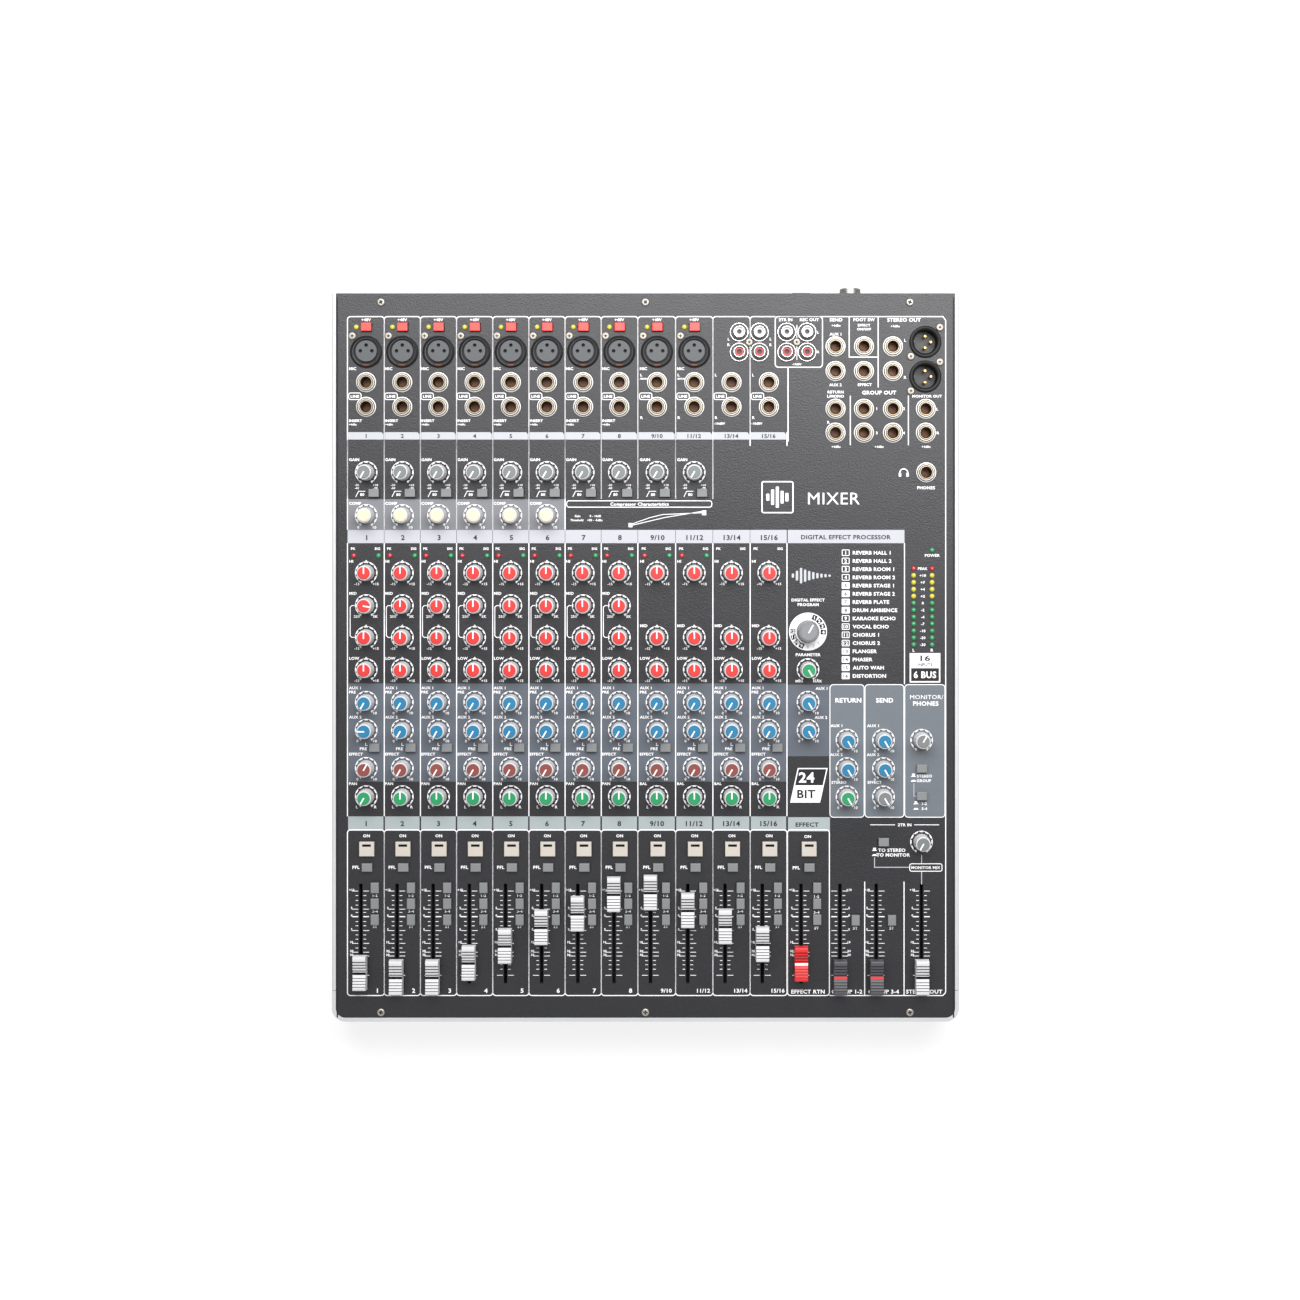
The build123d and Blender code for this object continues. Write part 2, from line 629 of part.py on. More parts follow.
def build_phono_sockets():
    """Coaxial pin sockets: coloured collar, metal sleeve and the insulated centre contact."""
    collar = rod(PHONO_COLLAR_DIAMETER, 0, 1.8) - rod(PHONO_SLEEVE_DIAMETER, -1, 3)
    sleeve = rod(PHONO_SLEEVE_DIAMETER, BOARD_TOP, 7.0) - rod(PHONO_SLEEVE_DIAMETER - 1.0, -2, 8)
    core = rod(PHONO_SLEEVE_DIAMETER - 1.0, -2, 5.5) - rod(PHONO_BORE, 0, 6)
    points = phono_points()
    return copies(collar, points) + copies(sleeve, points) + copies(core, points)


def build_lamps():
    """Indicator lamps, domed above the panel face."""
    dome = Pos(0, 0, LAMP_TOP) * Sphere(LAMP_DIAMETER / 2)
    lamp = rod(LAMP_DIAMETER, -5, LAMP_TOP) + dome
    return copies(lamp, lamp_points())


# ---- boards and rear parts ----


def build_main_board():
    front = FRONT_V + 18
    rear = REAR_V - 18
    width = 2 * HALF_INSIDE - 12
    board = slab(width, rear - front, BOARD_TOP - BOARD_THICKNESS, BOARD_TOP)
    return on_panel(Pos(0, (front + rear) / 2, 0) * board)


def rear_location(x):
    """Frame on the rear face: local Z points out of the rear, local Y points up."""
    height = panel_height(HALF_DEPTH) - INLET_BELOW_REAR_EDGE
    plane = Plane(origin=(x, HALF_DEPTH, height), x_dir=(-1, 0, 0), z_dir=(0, 1, 0))
    return plane.location


def build_dc_inlet():
    """Screw-lock low-voltage inlet: grooved metal sleeve, insulator and three pins."""
    sleeve = rod(INLET_SLEEVE_DIAMETER, -12, INLET_REACH) + rod(INLET_FLANGE, 0, 1.6)
    grooves = [
        rod(INLET_SLEEVE_DIAMETER + 4, h, h + 0.5) - rod(INLET_SLEEVE_DIAMETER - 1.0, h - 1, h + 2)
        for h in (3.0, 4.2, 5.4, 6.6, 7.8)
    ]
    sleeve = sleeve - rod(INLET_BORE, -20, INLET_REACH + 1) - grooves
    floor = INLET_REACH - INLET_CUP_DEPTH
    insulator = rod(INLET_BORE, -12, floor)
    pins = [
        Pos(4.0 * math.cos(math.radians(a)), 4.0 * math.sin(math.radians(a)), 0)
        * rod(1.6, floor, INLET_REACH - 1.0)
        for a in (90, 210, 330)
    ]
    return [rear_location(INLET_X) * shape for shape in [sleeve, insulator] + pins]


def build_rocker_frame():
    """Snap-in frame that the power rocker tips in."""
    across, up = ROCKER_SIZE
    outer = Box(across + 2 * ROCKER_FRAME, up + 2 * ROCKER_FRAME, 13)
    flange = Pos(0, 0, 5.5) * Box(across + 8, up + 8, 2)
    inner = Pos(0, 0, 1.5) * Box(across + 2 * BUTTON_GAP, up + 3, 13)
    return rear_location(ROCKER_X) * (Pos(0, 0, -4.5) * (outer + flange - inner))


def build_rocker():
    """Two-faced rocker, tipped to its off side about a pivot across the frame."""
    across, up = ROCKER_SIZE
    end = up / 2 - 0.2
    points = [(-end, 4.2), (0, 2.2), (end, 4.2), (end - 1.3, -2.5), (1.3 - end, -2.5)]
    profile = Polyline(*[(-across / 2, y, z) for y, z in points], close=True)
    rocker = extrude(make_face(profile), across, dir=(1, 0, 0))
    return rear_location(ROCKER_X) * (Rot(ROCKER_TILT, 0, 0) * rocker)


# ---- everything ----


def build_nodes():
    nodes = {
        "top_panel": [build_top_panel()],
        "base_pan": [build_base_pan()],
        "rear_panel": [build_rear_panel()],
        "side_rail_left": [build_side_rail(-1)],
        "side_rail_right": [build_side_rail(1)],
        "front_trim": [build_front_trim()],
        "rubber_feet": build_feet(),
        "panel_screws": copies(pan_screw(6.0), panel_screw_points()),
        "socket_screws": copies(pan_screw(5.0), socket_screw_points()),
        "mic_sockets": build_mic_sockets(),
        "xlr_outputs": build_xlr_outputs(),
        "phone_jacks": build_jacks(),
        "jack_nuts": build_jack_nuts(),
        "phono_sockets": build_phono_sockets(),
        "indicator_lamps": build_lamps(),
        "main_board": [build_main_board()],
        "fader_bodies": build_fader_bodies(),
        "rotary_pots": build_pots(),
        "switch_bodies": build_switches(),
        "dc_inlet": build_dc_inlet(),
        "power_rocker_frame": [build_rocker_frame()],
        "power_rocker": [build_rocker()],
    }
    for name, entries in fixed_knobs().items():
        nodes[name] = build_knob_group(entries)
    for name, x, v, angle in moving_knobs():
        nodes[name] = build_moving_knob(x, v, angle)
    for name, x, rest in fader_points():
        nodes[name] = build_fader(x, rest)
    for name, (size, points) in button_points().items():
        nodes[name] = build_buttons(size, points)
    return nodes


def main():
    os.makedirs("parts", exist_ok=True)
    for name, shapes in build_nodes().items():
        solids = [solid for shape in shapes for solid in shape.solids()]
        shape = solids[0] if len(solids) == 1 else Compound(solids)
        export_step(Pos(0, Y_OFFSET, 0) * shape, "parts/" + name + ".step")


if __name__ == "__main__":
    main()
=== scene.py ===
import json
import math

import bmesh
import bpy
import numpy as np
from bpy.props import FloatProperty, FloatVectorProperty, IntProperty, PointerProperty
from mathutils import Matrix, Vector


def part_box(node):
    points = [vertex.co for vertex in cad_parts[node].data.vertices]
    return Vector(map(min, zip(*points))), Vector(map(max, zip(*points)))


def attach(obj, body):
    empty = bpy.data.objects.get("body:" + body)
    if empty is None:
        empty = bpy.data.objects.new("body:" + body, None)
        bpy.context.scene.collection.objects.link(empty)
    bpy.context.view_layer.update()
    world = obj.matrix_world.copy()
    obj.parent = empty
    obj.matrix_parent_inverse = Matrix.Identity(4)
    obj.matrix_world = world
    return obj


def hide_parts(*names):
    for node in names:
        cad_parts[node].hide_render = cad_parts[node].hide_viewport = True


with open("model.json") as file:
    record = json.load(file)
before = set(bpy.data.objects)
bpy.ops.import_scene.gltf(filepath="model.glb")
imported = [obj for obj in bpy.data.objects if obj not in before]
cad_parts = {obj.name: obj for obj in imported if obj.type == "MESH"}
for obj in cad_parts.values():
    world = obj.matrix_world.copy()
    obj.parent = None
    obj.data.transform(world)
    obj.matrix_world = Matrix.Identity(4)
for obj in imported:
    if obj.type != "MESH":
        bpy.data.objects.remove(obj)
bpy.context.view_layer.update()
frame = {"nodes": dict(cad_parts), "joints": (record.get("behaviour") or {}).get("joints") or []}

bl_info = {
    "name": "Mixing console looks",
    "version": (1, 0, 0),
    "blender": (4, 5, 0),
    "location": "View3D > Sidebar > Console",
    "description": "Finishes, printing, knobs, faders and sockets of a sloping mixing console",
    "category": "Object",
}

NODES = frame["nodes"]
JOINTS = {joint["name"]: joint for joint in frame["joints"]}

# The panel's own axes: x across, v up the slope and w out of the face, in millimetres.
SLOPE_AXIS = JOINTS["knob_gain_ch1_turn"]["axis"]
SLOPE = math.atan2(SLOPE_AXIS[1], -SLOPE_AXIS[2])
COS, SIN = math.cos(SLOPE), math.sin(SLOPE)
MIDDLE_Y = (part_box("front_trim")[0].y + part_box("rear_panel")[1].y) / 2
GAIN_AT = JOINTS["knob_gain_ch1_turn"]["pos_m"]
MIDDLE_Z = GAIN_AT[2] - (GAIN_AT[1] - MIDDLE_Y) / COS * SIN
PANEL = Matrix(((1, 0, 0, 0), (0, COS, -SIN, MIDDLE_Y), (0, SIN, COS, MIDDLE_Z), (0, 0, 0, 1)))
TO_WORLD = PANEL @ Matrix.Scale(0.001, 4)
TO_PANEL = TO_WORLD.inverted()


def paint(red, green, blue):
    """A colour given as everyday 0 to 255 values, in linear light."""
    parts = [value / 255 for value in (red, green, blue)]
    return tuple(p / 12.92 if p <= 0.04045 else ((p + 0.055) / 1.055) ** 2.4 for p in parts)


def hue(label, about, red, green, blue):
    """A colour setting with its name, its use and its usual value."""
    return FloatVectorProperty(name=label, description=about, subtype="COLOR", size=3,
                               min=0.0, max=1.0, default=paint(red, green, blue))


def length(label, about, millimetres):
    """A length setting, kept in metres."""
    return FloatProperty(name=label, description=about, subtype="DISTANCE", unit="LENGTH",
                         min=0.0, default=millimetres / 1000)


class ConsoleColours(bpy.types.PropertyGroup):
    """Colours of the console's finishes."""

    panel: hue("Panel paint", "Satin paint of the sloping panel", 19, 19, 24)
    case: hue("Case paint", "Paint of the base pan and the rear panel", 34, 34, 37)
    trim: hue("Trim", "Silver moulding of the rails and the front trim", 188, 189, 191)
    ink: hue("Printing", "White lines and letters on the panel", 236, 234, 236)
    strip: hue("Scribble strips", "Pale strips above and below the channels", 172, 174, 180)
    aux_band: hue("Aux band", "Blue-grey band behind the aux knobs", 76, 82, 91)
    comp_band: hue("Comp band", "Grey band behind the compressor knobs", 108, 110, 114)
    box_band: hue("Master boxes", "Grey boxes of the return, send and monitor columns", 92, 98, 105)
    strip_front: hue("Front strip", "Pale strip over the on buttons", 150, 158, 160)
    knob_body: hue("Knob body", "Ribbed body of the knobs", 198, 198, 200)
    cap_red: hue("Red cap", "Tone control caps", 192, 38, 36)
    cap_blue: hue("Blue cap", "Aux send caps", 14, 104, 142)
    cap_brown: hue("Brown cap", "Effect send caps", 118, 54, 48)
    cap_green: hue("Green cap", "Pan caps", 16, 128, 78)
    cap_cream: hue("Cream knob", "Compressor knobs", 208, 192, 168)
    cap_grey: hue("Grey cap", "Gain caps", 106, 110, 111)
    fader_white: hue("White fader", "Channel fader caps", 202, 201, 203)
    fader_red: hue("Red fader", "Effect fader cap", 206, 36, 38)
    fader_dark: hue("Dark fader", "Group fader caps", 66, 66, 72)
    button_grey: hue("Grey button", "Small push buttons", 114, 116, 117)
    button_red: hue("Red button", "Phantom power buttons", 214, 58, 50)
    button_cream: hue("Cream button", "Channel on buttons", 184, 177, 168)
    floor: hue("Floor", "Plain pale floor", 246, 246, 246)


class ConsoleSizes(bpy.types.PropertyGroup):
    """Sizes of the details that the looks add."""

    line_width: length("Line width", "Printed frame lines", 0.7)
    letter_height: length("Letter height", "Cap height of the small labels", 1.9)
    scale_radius: length("Scale radius", "Outer radius of a knob's scale", 8.0)
    scale_width: length("Scale width", "Width of a knob's printed ring", 0.9)
    pointer_width: length("Pointer width", "White line on a knob cap", 0.95)
    rib_depth: length("Rib depth", "Depth of the ribs round a knob", 0.28)
    ribs: IntProperty(name="Ribs", description="Ribs round a knob", min=6, max=60, default=20)
    line_angle: FloatProperty(name="Scale half angle", description="Half the sweep of a knob's scale",
                              subtype="ANGLE", unit="ROTATION", default=math.radians(150))


# ---------------------------------------------------------------- node graphs


class Link:
    """One output of a node, which adds, subtracts and multiplies like a number."""

    def __init__(self, graph, socket):
        self.graph = graph
        self.socket = socket

    def maths(self, operation, *others):
        inputs = dict(enumerate((self, *others)))
        return self.graph.node("ShaderNodeMath", inputs, operation=operation)

    def __add__(self, other):
        return self.maths("ADD", other)

    def __mul__(self, other):
        return self.maths("MULTIPLY", other)

    def __sub__(self, other):
        return self.maths("SUBTRACT", other)

    def __rsub__(self, other):
        return self * -1.0 + other

    __radd__ = __add__
    __rmul__ = __mul__


class Graph:
    """A shader or geometry tree under construction."""

    def __init__(self, tree):
        self.tree = tree

    def node(self, kind, inputs=None, output=0, **settings):
        """Makes a node, sets it, feeds it and returns one of its outputs."""
        made = self.tree.nodes.new(kind)
        for key, value in settings.items():
            setattr(made, key, value)
        for key, value in (inputs or {}).items():
            if isinstance(value, Link):
                self.tree.links.new(value.socket, made.inputs[key])
            else:
                made.inputs[key].default_value = value
        if not made.outputs:
            return made
        return Link(self, made.outputs[output])

    def other(self, link, output):
        """Another output of the node that a link comes from."""
        return Link(self, link.socket.node.outputs[output])

    def seen(self):
        """One for rays of the camera, of gloss and through clear material, nought for the rest."""
        eye = self.node("ShaderNodeLightPath", output="Is Camera Ray")
        gloss, clear = self.other(eye, "Is Glossy Ray"), self.other(eye, "Is Transmission Ray")
        return eye.maths("MAXIMUM", gloss).maths("MAXIMUM", clear)

    def close(self, shape, given):
        """Ends a geometry tree with real meshes in the given finish."""
        real = self.node("GeometryNodeRealizeInstances", {"Geometry": shape})
        done = self.node("GeometryNodeSetMaterial", {
            "Geometry": real, "Material": self.other(given, "Finish")})
        self.node("NodeGroupOutput", {"Geometry": done})
        return self.tree


# Sockets of a Mix node in its colour mode, which share their names with its other modes.
MIX_SHARE, MIX_LOW, MIX_HIGH, MIX_RESULT = 0, 6, 7, 2
# Noise stays near its middle, so it is stretched by this to fill the range of colours.
NOISE_REACH = 1.6


def fresh_graph(owner):
    """The emptied node tree of a material or a world."""
    owner.use_nodes = True
    owner.node_tree.nodes.clear()
    return Graph(owner.node_tree)


def finish(name, colour, rough=0.45, metal=0.0, mottle=0.05, grain=0.03, scale=1400.0,
           relief=0.04, coat=0.0, specular=0.5):
    """A finish with broad and fine variation in its colour, gloss and surface."""
    material = bpy.data.materials.new(name)
    graph = fresh_graph(material)
    place = graph.node("ShaderNodeTexCoord", output="Object")
    broad = graph.node("ShaderNodeTexNoise", {"Vector": place, "Scale": scale / 25, "Detail": 3.0})
    fine = graph.node("ShaderNodeTexNoise", {"Vector": place, "Scale": scale, "Detail": 2.0})
    spread = mottle + grain
    share = ((broad - 0.5) * (NOISE_REACH * mottle / spread)
             + (fine - 0.5) * (NOISE_REACH * grain / spread) + 0.5)
    low = (*[c * (1 - spread) for c in colour], 1)
    high = (*[min(1.0, c * (1 + spread)) for c in colour], 1)
    tone = graph.node("ShaderNodeMix", {MIX_SHARE: share, MIX_LOW: low, MIX_HIGH: high},
                      output=MIX_RESULT, data_type="RGBA")
    gloss = (broad - 0.5) * 0.12 + (fine - 0.5) * 0.16 + rough
    bump = graph.node("ShaderNodeBump", {"Strength": relief, "Distance": 0.0002, "Height": fine})
    shader = graph.node("ShaderNodeBsdfPrincipled", {
        "Base Color": tone, "Roughness": gloss, "Metallic": metal, "Normal": bump,
        "Coat Weight": coat, "Coat Roughness": 0.15, "Specular IOR Level": specular})
    graph.node("ShaderNodeOutputMaterial", {"Surface": shader})
    return material


def lamp_finish(name, colour, glow):
    """Tinted clear plastic over a faintly lit core."""
    material = finish(name, colour, rough=0.18, mottle=0.12, grain=0.02, scale=900.0, coat=0.6)
    shader = material.node_tree.nodes["Principled BSDF"]
    shader.inputs["Emission Color"].default_value = (*colour, 1)
    shader.inputs["Emission Strength"].default_value = glow
    return material


# ---------------------------------------------------------------- where the CAD parts are


def panel_place(point):
    """A world point in metres, in the panel's millimetres."""
    return TO_PANEL @ Vector(point)


def solids(*names):
    """The boxes (low, high) of the separate solids in CAD nodes, along the panel's axes."""
    boxes = []
    for name in names:
        mesh = NODES[name].data
        points = np.empty(len(mesh.vertices) * 3)
        mesh.vertices.foreach_get("co", points)
        points = points.reshape(-1, 3)
        _, same = np.unique(np.round(points, 6), axis=0, return_inverse=True)
        same = same.reshape(-1)
        edges = np.empty(len(mesh.edges) * 2, int)
        mesh.edges.foreach_get("vertices", edges)
        first, second = same[edges.reshape(-1, 2)].T
        label = np.arange(same.max() + 1)
        while True:
            lower = label.copy()
            np.minimum.at(lower, first, label[second])
            np.minimum.at(lower, second, label[first])
            lower = lower[lower]
            if np.array_equal(lower, label):
                break
            label = lower
        turn = np.array(TO_PANEL)
        local = points @ turn[:3, :3].T + turn[:3, 3]
        for group in np.unique(label):
            own = local[label[same] == group]
            boxes.append((own.min(0), own.max(0)))
    return boxes


def centres(*names, least=0.0):
    """Panel places (x, v) of the solids at least so wide, each once."""
    found = {}
    for low, high in solids(*names):
        if high[0] - low[0] >= least:
            middle = (low + high) / 2
            found[(round(middle[0], 0), round(middle[1], 0))] = (middle[0], middle[1])
    return sorted(found.values())


def depth(*names):
    """The lowest and the highest w of CAD nodes."""
    boxes = solids(*names)
    return min(low[2] for low, high in boxes), max(high[2] for low, high in boxes)


def joint_place(name):
    """Where a turning joint's axis meets the panel."""
    return panel_place(JOINTS[name]["pos_m"])


def rest_angle(name):
    """How far a knob is turned from straight up, read from its joint's range."""
    low, high = JOINTS[name]["range_deg"]
    return -(low + high) / 2


# ---------------------------------------------------------------- meshes


def plain_mesh(name, points, faces, material=None):
    """A mesh in panel millimetres with its faces turned outward."""
    mesh = bpy.data.meshes.new(name)
    mesh.from_pydata([tuple(map(float, p)) for p in points], [], [tuple(f) for f in faces])
    shape = bmesh.new()
    shape.from_mesh(mesh)
    bmesh.ops.recalc_face_normals(shape, faces=shape.faces)
    shape.to_mesh(mesh)
    shape.free()
    if material:
        mesh.materials.append(material)
    return mesh


def turned(profile, steps=32):
    """Points and faces of a solid turned from (radius, height) points, open profiles ending on the axis."""
    points, rings, faces = [], [], []
    for radius, height in profile:
        if radius < 1e-6:
            rings.append([len(points)])
            points.append((0.0, 0.0, height))
            continue
        rings.append(list(range(len(points), len(points) + steps)))
        for step in range(steps):
            angle = 2 * math.pi * step / steps
            points.append((radius * math.cos(angle), radius * math.sin(angle), height))
    pairs = list(zip(rings, rings[1:]))
    if len(rings[0]) > 1 and len(rings[-1]) > 1:
        pairs.append((rings[-1], rings[0]))
    for low, high in pairs:
        for step in range(steps):
            after = (step + 1) % steps
            if len(low) == 1:
                faces.append((low[0], high[after], high[step]))
            elif len(high) == 1:
                faces.append((low[step], low[after], high[0]))
            else:
                faces.append((low[step], low[after], high[after], high[step]))
    return points, faces


def rod(radius, low, high, steps):
    """A solid cylinder."""
    return turned([(0, low), (radius, low), (radius, high), (0, high)], steps)


def tube(inner, outer, low, high, steps):
    """A plain ring."""
    return turned([(inner, low), (outer, low), (outer, high), (inner, high)], steps)


def block(x0, v0, w0, x1, v1, w1, bevel=0.0):
    """Points and faces of a block whose top edges are drawn in by the bevel."""
    levels = [(w0, 0.0), (w1 - bevel, 0.0), (w1, bevel)] if bevel else [(w0, 0.0), (w1, 0.0)]
    points, faces = [], []
    for height, inset in levels:
        points += [(x0 + inset, v0 + inset, height), (x1 - inset, v0 + inset, height),
                   (x1 - inset, v1 - inset, height), (x0 + inset, v1 - inset, height)]
    for level in range(len(levels) - 1):
        base = level * 4
        faces += [(base + s, base + (s + 1) % 4, base + 4 + (s + 1) % 4, base + 4 + s) for s in range(4)]
    top = (len(levels) - 1) * 4
    faces += [(3, 2, 1, 0), (top, top + 1, top + 2, top + 3)]
    return points, faces


def merged(*shapes):
    """Several points-and-faces pairs as one."""
    points, faces = [], []
    for more_points, more_faces in shapes:
        start = len(points)
        points += list(more_points)
        faces += [tuple(index + start for index in face) for face in more_faces]
    return points, faces


def moved(shape, x=0.0, v=0.0, w=0.0):
    """A points-and-faces pair shifted."""
    return [(p[0] + x, p[1] + v, p[2] + w) for p in shape[0]], shape[1]


def evaluated(host):
    """The plain mesh that an object's modifiers make; the object is removed."""
    bpy.context.view_layer.update()
    graph = bpy.context.evaluated_depsgraph_get()
    mesh = bpy.data.meshes.new_from_object(host.evaluated_get(graph))
    bpy.data.objects.remove(host)
    return mesh


def hosted(name, mesh, tree, **inputs):
    """An object whose Geometry Nodes tree has the named inputs set."""
    host = bpy.data.objects.new(name, mesh)
    bpy.context.scene.collection.objects.link(host)
    modifier = host.modifiers.new(name, "NODES")
    modifier.node_group = tree
    for item in tree.interface.items_tree:
        key = item.name.lower().replace(" ", "_")
        if item.in_out == "INPUT" and key in inputs:
            modifier[item.identifier] = inputs[key]
    return host


def new_tree(name, *sockets):
    """A Geometry Nodes tree with a geometry input and output and named inputs."""
    tree = bpy.data.node_groups.new(name, "GeometryNodeTree")
    tree.interface.new_socket("Geometry", in_out="INPUT", socket_type="NodeSocketGeometry")
    for label, kind, value in sockets:
        socket = tree.interface.new_socket(label, in_out="INPUT", socket_type=kind)
        if value is not None:
            socket.default_value = value
    tree.interface.new_socket("Geometry", in_out="OUTPUT", socket_type="NodeSocketGeometry")
    return tree


def scatter_tree():
    """Puts a shape on every point, turned by the point's own angle."""
    if "console scatter" in bpy.data.node_groups:
        return bpy.data.node_groups["console scatter"]
    tree = new_tree("console scatter", ("Shape", "NodeSocketObject", None),
                    ("Size", "NodeSocketFloat", 1.0), ("Finish", "NodeSocketMaterial", None))
    graph = Graph(tree)
    given = graph.node("NodeGroupInput", output="Geometry")
    shape = graph.node("GeometryNodeObjectInfo", {"Object": graph.other(given, "Shape")}, output="Geometry")
    angle = graph.node("GeometryNodeInputNamedAttribute", {"Name": "turn"}, data_type="FLOAT")
    spin = graph.node("ShaderNodeCombineXYZ", {"Z": angle})
    rotation = graph.node("FunctionNodeEulerToRotation", {"Euler": spin})
    placed = graph.node("GeometryNodeInstanceOnPoints", {
        "Points": given, "Instance": shape, "Rotation": rotation, "Scale": graph.other(given, "Size")})
    return graph.close(placed, given)


def ribbed_tree():
    """A tapered body with ribs round its side."""
    if "console ribbed body" in bpy.data.node_groups:
        return bpy.data.node_groups["console ribbed body"]
    tree = new_tree("console ribbed body", ("Foot Radius", "NodeSocketFloat", 6.0),
                    ("Top Radius", "NodeSocketFloat", 5.3), ("Height", "NodeSocketFloat", 12.0),
                    ("Ribs", "NodeSocketInt", 20), ("Rib Depth", "NodeSocketFloat", 0.3),
                    ("Finish", "NodeSocketMaterial", None))
    graph = Graph(tree)
    given = graph.node("NodeGroupInput", output="Geometry")
    cone = graph.node("GeometryNodeMeshCone", {
        "Vertices": graph.other(given, "Ribs") * 3, "Side Segments": 3,
        "Radius Top": graph.other(given, "Top Radius"),
        "Radius Bottom": graph.other(given, "Foot Radius"), "Depth": graph.other(given, "Height")})
    place = graph.node("GeometryNodeInputPosition")
    parts = graph.node("ShaderNodeSeparateXYZ", {"Vector": place}, output="X")
    angle = graph.other(parts, "Y").maths("ARCTAN2", parts)
    ripple = (angle * graph.other(given, "Ribs")).maths("COSINE") * 0.5 + 0.5
    flat = graph.node("ShaderNodeCombineXYZ", {"X": parts, "Y": graph.other(parts, "Y")})
    outward = graph.node("ShaderNodeVectorMath", {0: flat}, operation="NORMALIZE")
    push = graph.node("ShaderNodeVectorMath", {
        0: outward, "Scale": ripple * graph.other(given, "Rib Depth") * -1.0}, operation="SCALE")
    shaped = graph.node("GeometryNodeSetPosition", {
        "Geometry": cone, "Selection": graph.other(cone, "Side"), "Offset": push})
    return graph.close(shaped, given)


def scattered(places, shape, material, size=1.0):
    """One mesh with a copy of the shape at each (x, v) or (x, v, clockwise degrees)."""
    if not isinstance(shape, bpy.types.Mesh):
        shape = plain_mesh("shape", *shape)
    template = bpy.data.objects.new("template", shape)
    bpy.context.scene.collection.objects.link(template)
    points = bpy.data.meshes.new("points")
    points.from_pydata([(p[0], p[1], 0.0) for p in places], [], [])
    turns = points.attributes.new("turn", "FLOAT", "POINT")
    turns.data.foreach_set("value", [-math.radians(p[2]) if len(p) > 2 else 0.0 for p in places])
    host = hosted("scatter", points, scatter_tree(), shape=template, size=size, finish=material)
    mesh = evaluated(host)
    bpy.data.objects.remove(template)
    return mesh


def piece(name, meshes, body="console", stands_for=(), smooth=35.0):
    """Joins meshes made in panel millimetres into one piece that rides on a body."""
    parts = []
    for mesh in meshes:
        part = bpy.data.objects.new(name, mesh)
        bpy.context.scene.collection.objects.link(part)
        parts.append(part)
    if len(parts) > 1:
        with bpy.context.temp_override(active_object=parts[0], object=parts[0],
                                       selected_objects=parts, selected_editable_objects=parts):
            bpy.ops.object.join()
    made = parts[0]
    made.name = name
    made.data.name = name
    made.data.transform(TO_WORLD)
    made.data.shade_smooth()
    made.data.set_sharp_from_angle(angle=math.radians(smooth))
    for old in [a for a in made.data.attributes if a.name == "turn"]:
        made.data.attributes.remove(old)
    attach(made, body)
    if stands_for:
        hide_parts(*stands_for)
    return made


def dress(names, *finish_name_and_colour, **look):
    """Gives the CAD nodes in a spaced list one finish."""
    material = finish(*finish_name_and_colour, **look)
    for name in names.split():
        for slot in NODES[name].material_slots:
            slot.material = material


# ---------------------------------------------------------------- flat printing

LETTERS = {}
LETTER_WEIGHT = 0.028
# An M closes up at the usual weight, so large labels that hold one stay thin.
LARGE_M_WEIGHT = 0.0
LARGE_LETTER = 2.6
# Height of a capital in the font's own units.
CAPITAL = 0.71


def lettering(words, weight):
    """Flat letters one unit tall with their left edge at zero: points, faces and width."""
    if (words, weight) not in LETTERS:
        curve = bpy.data.curves.new("letters", "FONT")
        curve.body = words
        curve.resolution_u = 2
        curve.offset = weight
        curve.space_character = 1.06
        text = bpy.data.objects.new("letters", curve)
        mesh = bpy.data.meshes.new_from_object(text)
        points = np.array([v.co[:2] for v in mesh.vertices]).reshape(-1, 2)
        faces = [tuple(p.vertices) for p in mesh.polygons]
        bpy.data.objects.remove(text)
        bpy.data.meshes.remove(mesh)
        left = points[:, 0].min() / CAPITAL
        LETTERS[words, weight] = (points / CAPITAL - (left, 0), faces, np.ptp(points[:, 0]) / CAPITAL)
    return LETTERS[words, weight]


def rounded(x0, v0, x1, v1, radius, steps=5):
    """Points anticlockwise round a box with rounded corners."""
    points = []
    corners = [(x1, v1, 0), (x0, v1, 90), (x0, v0, 180), (x1, v0, 270)]
    for x, v, start in corners:
        cx = x - radius if x == x1 else x + radius
        cv = v - radius if v == v1 else v + radius
        for step in range(steps + 1):
            angle = math.radians(start + 90 * step / steps)
            points.append((cx + radius * math.cos(angle), cv + radius * math.sin(angle)))
    return points


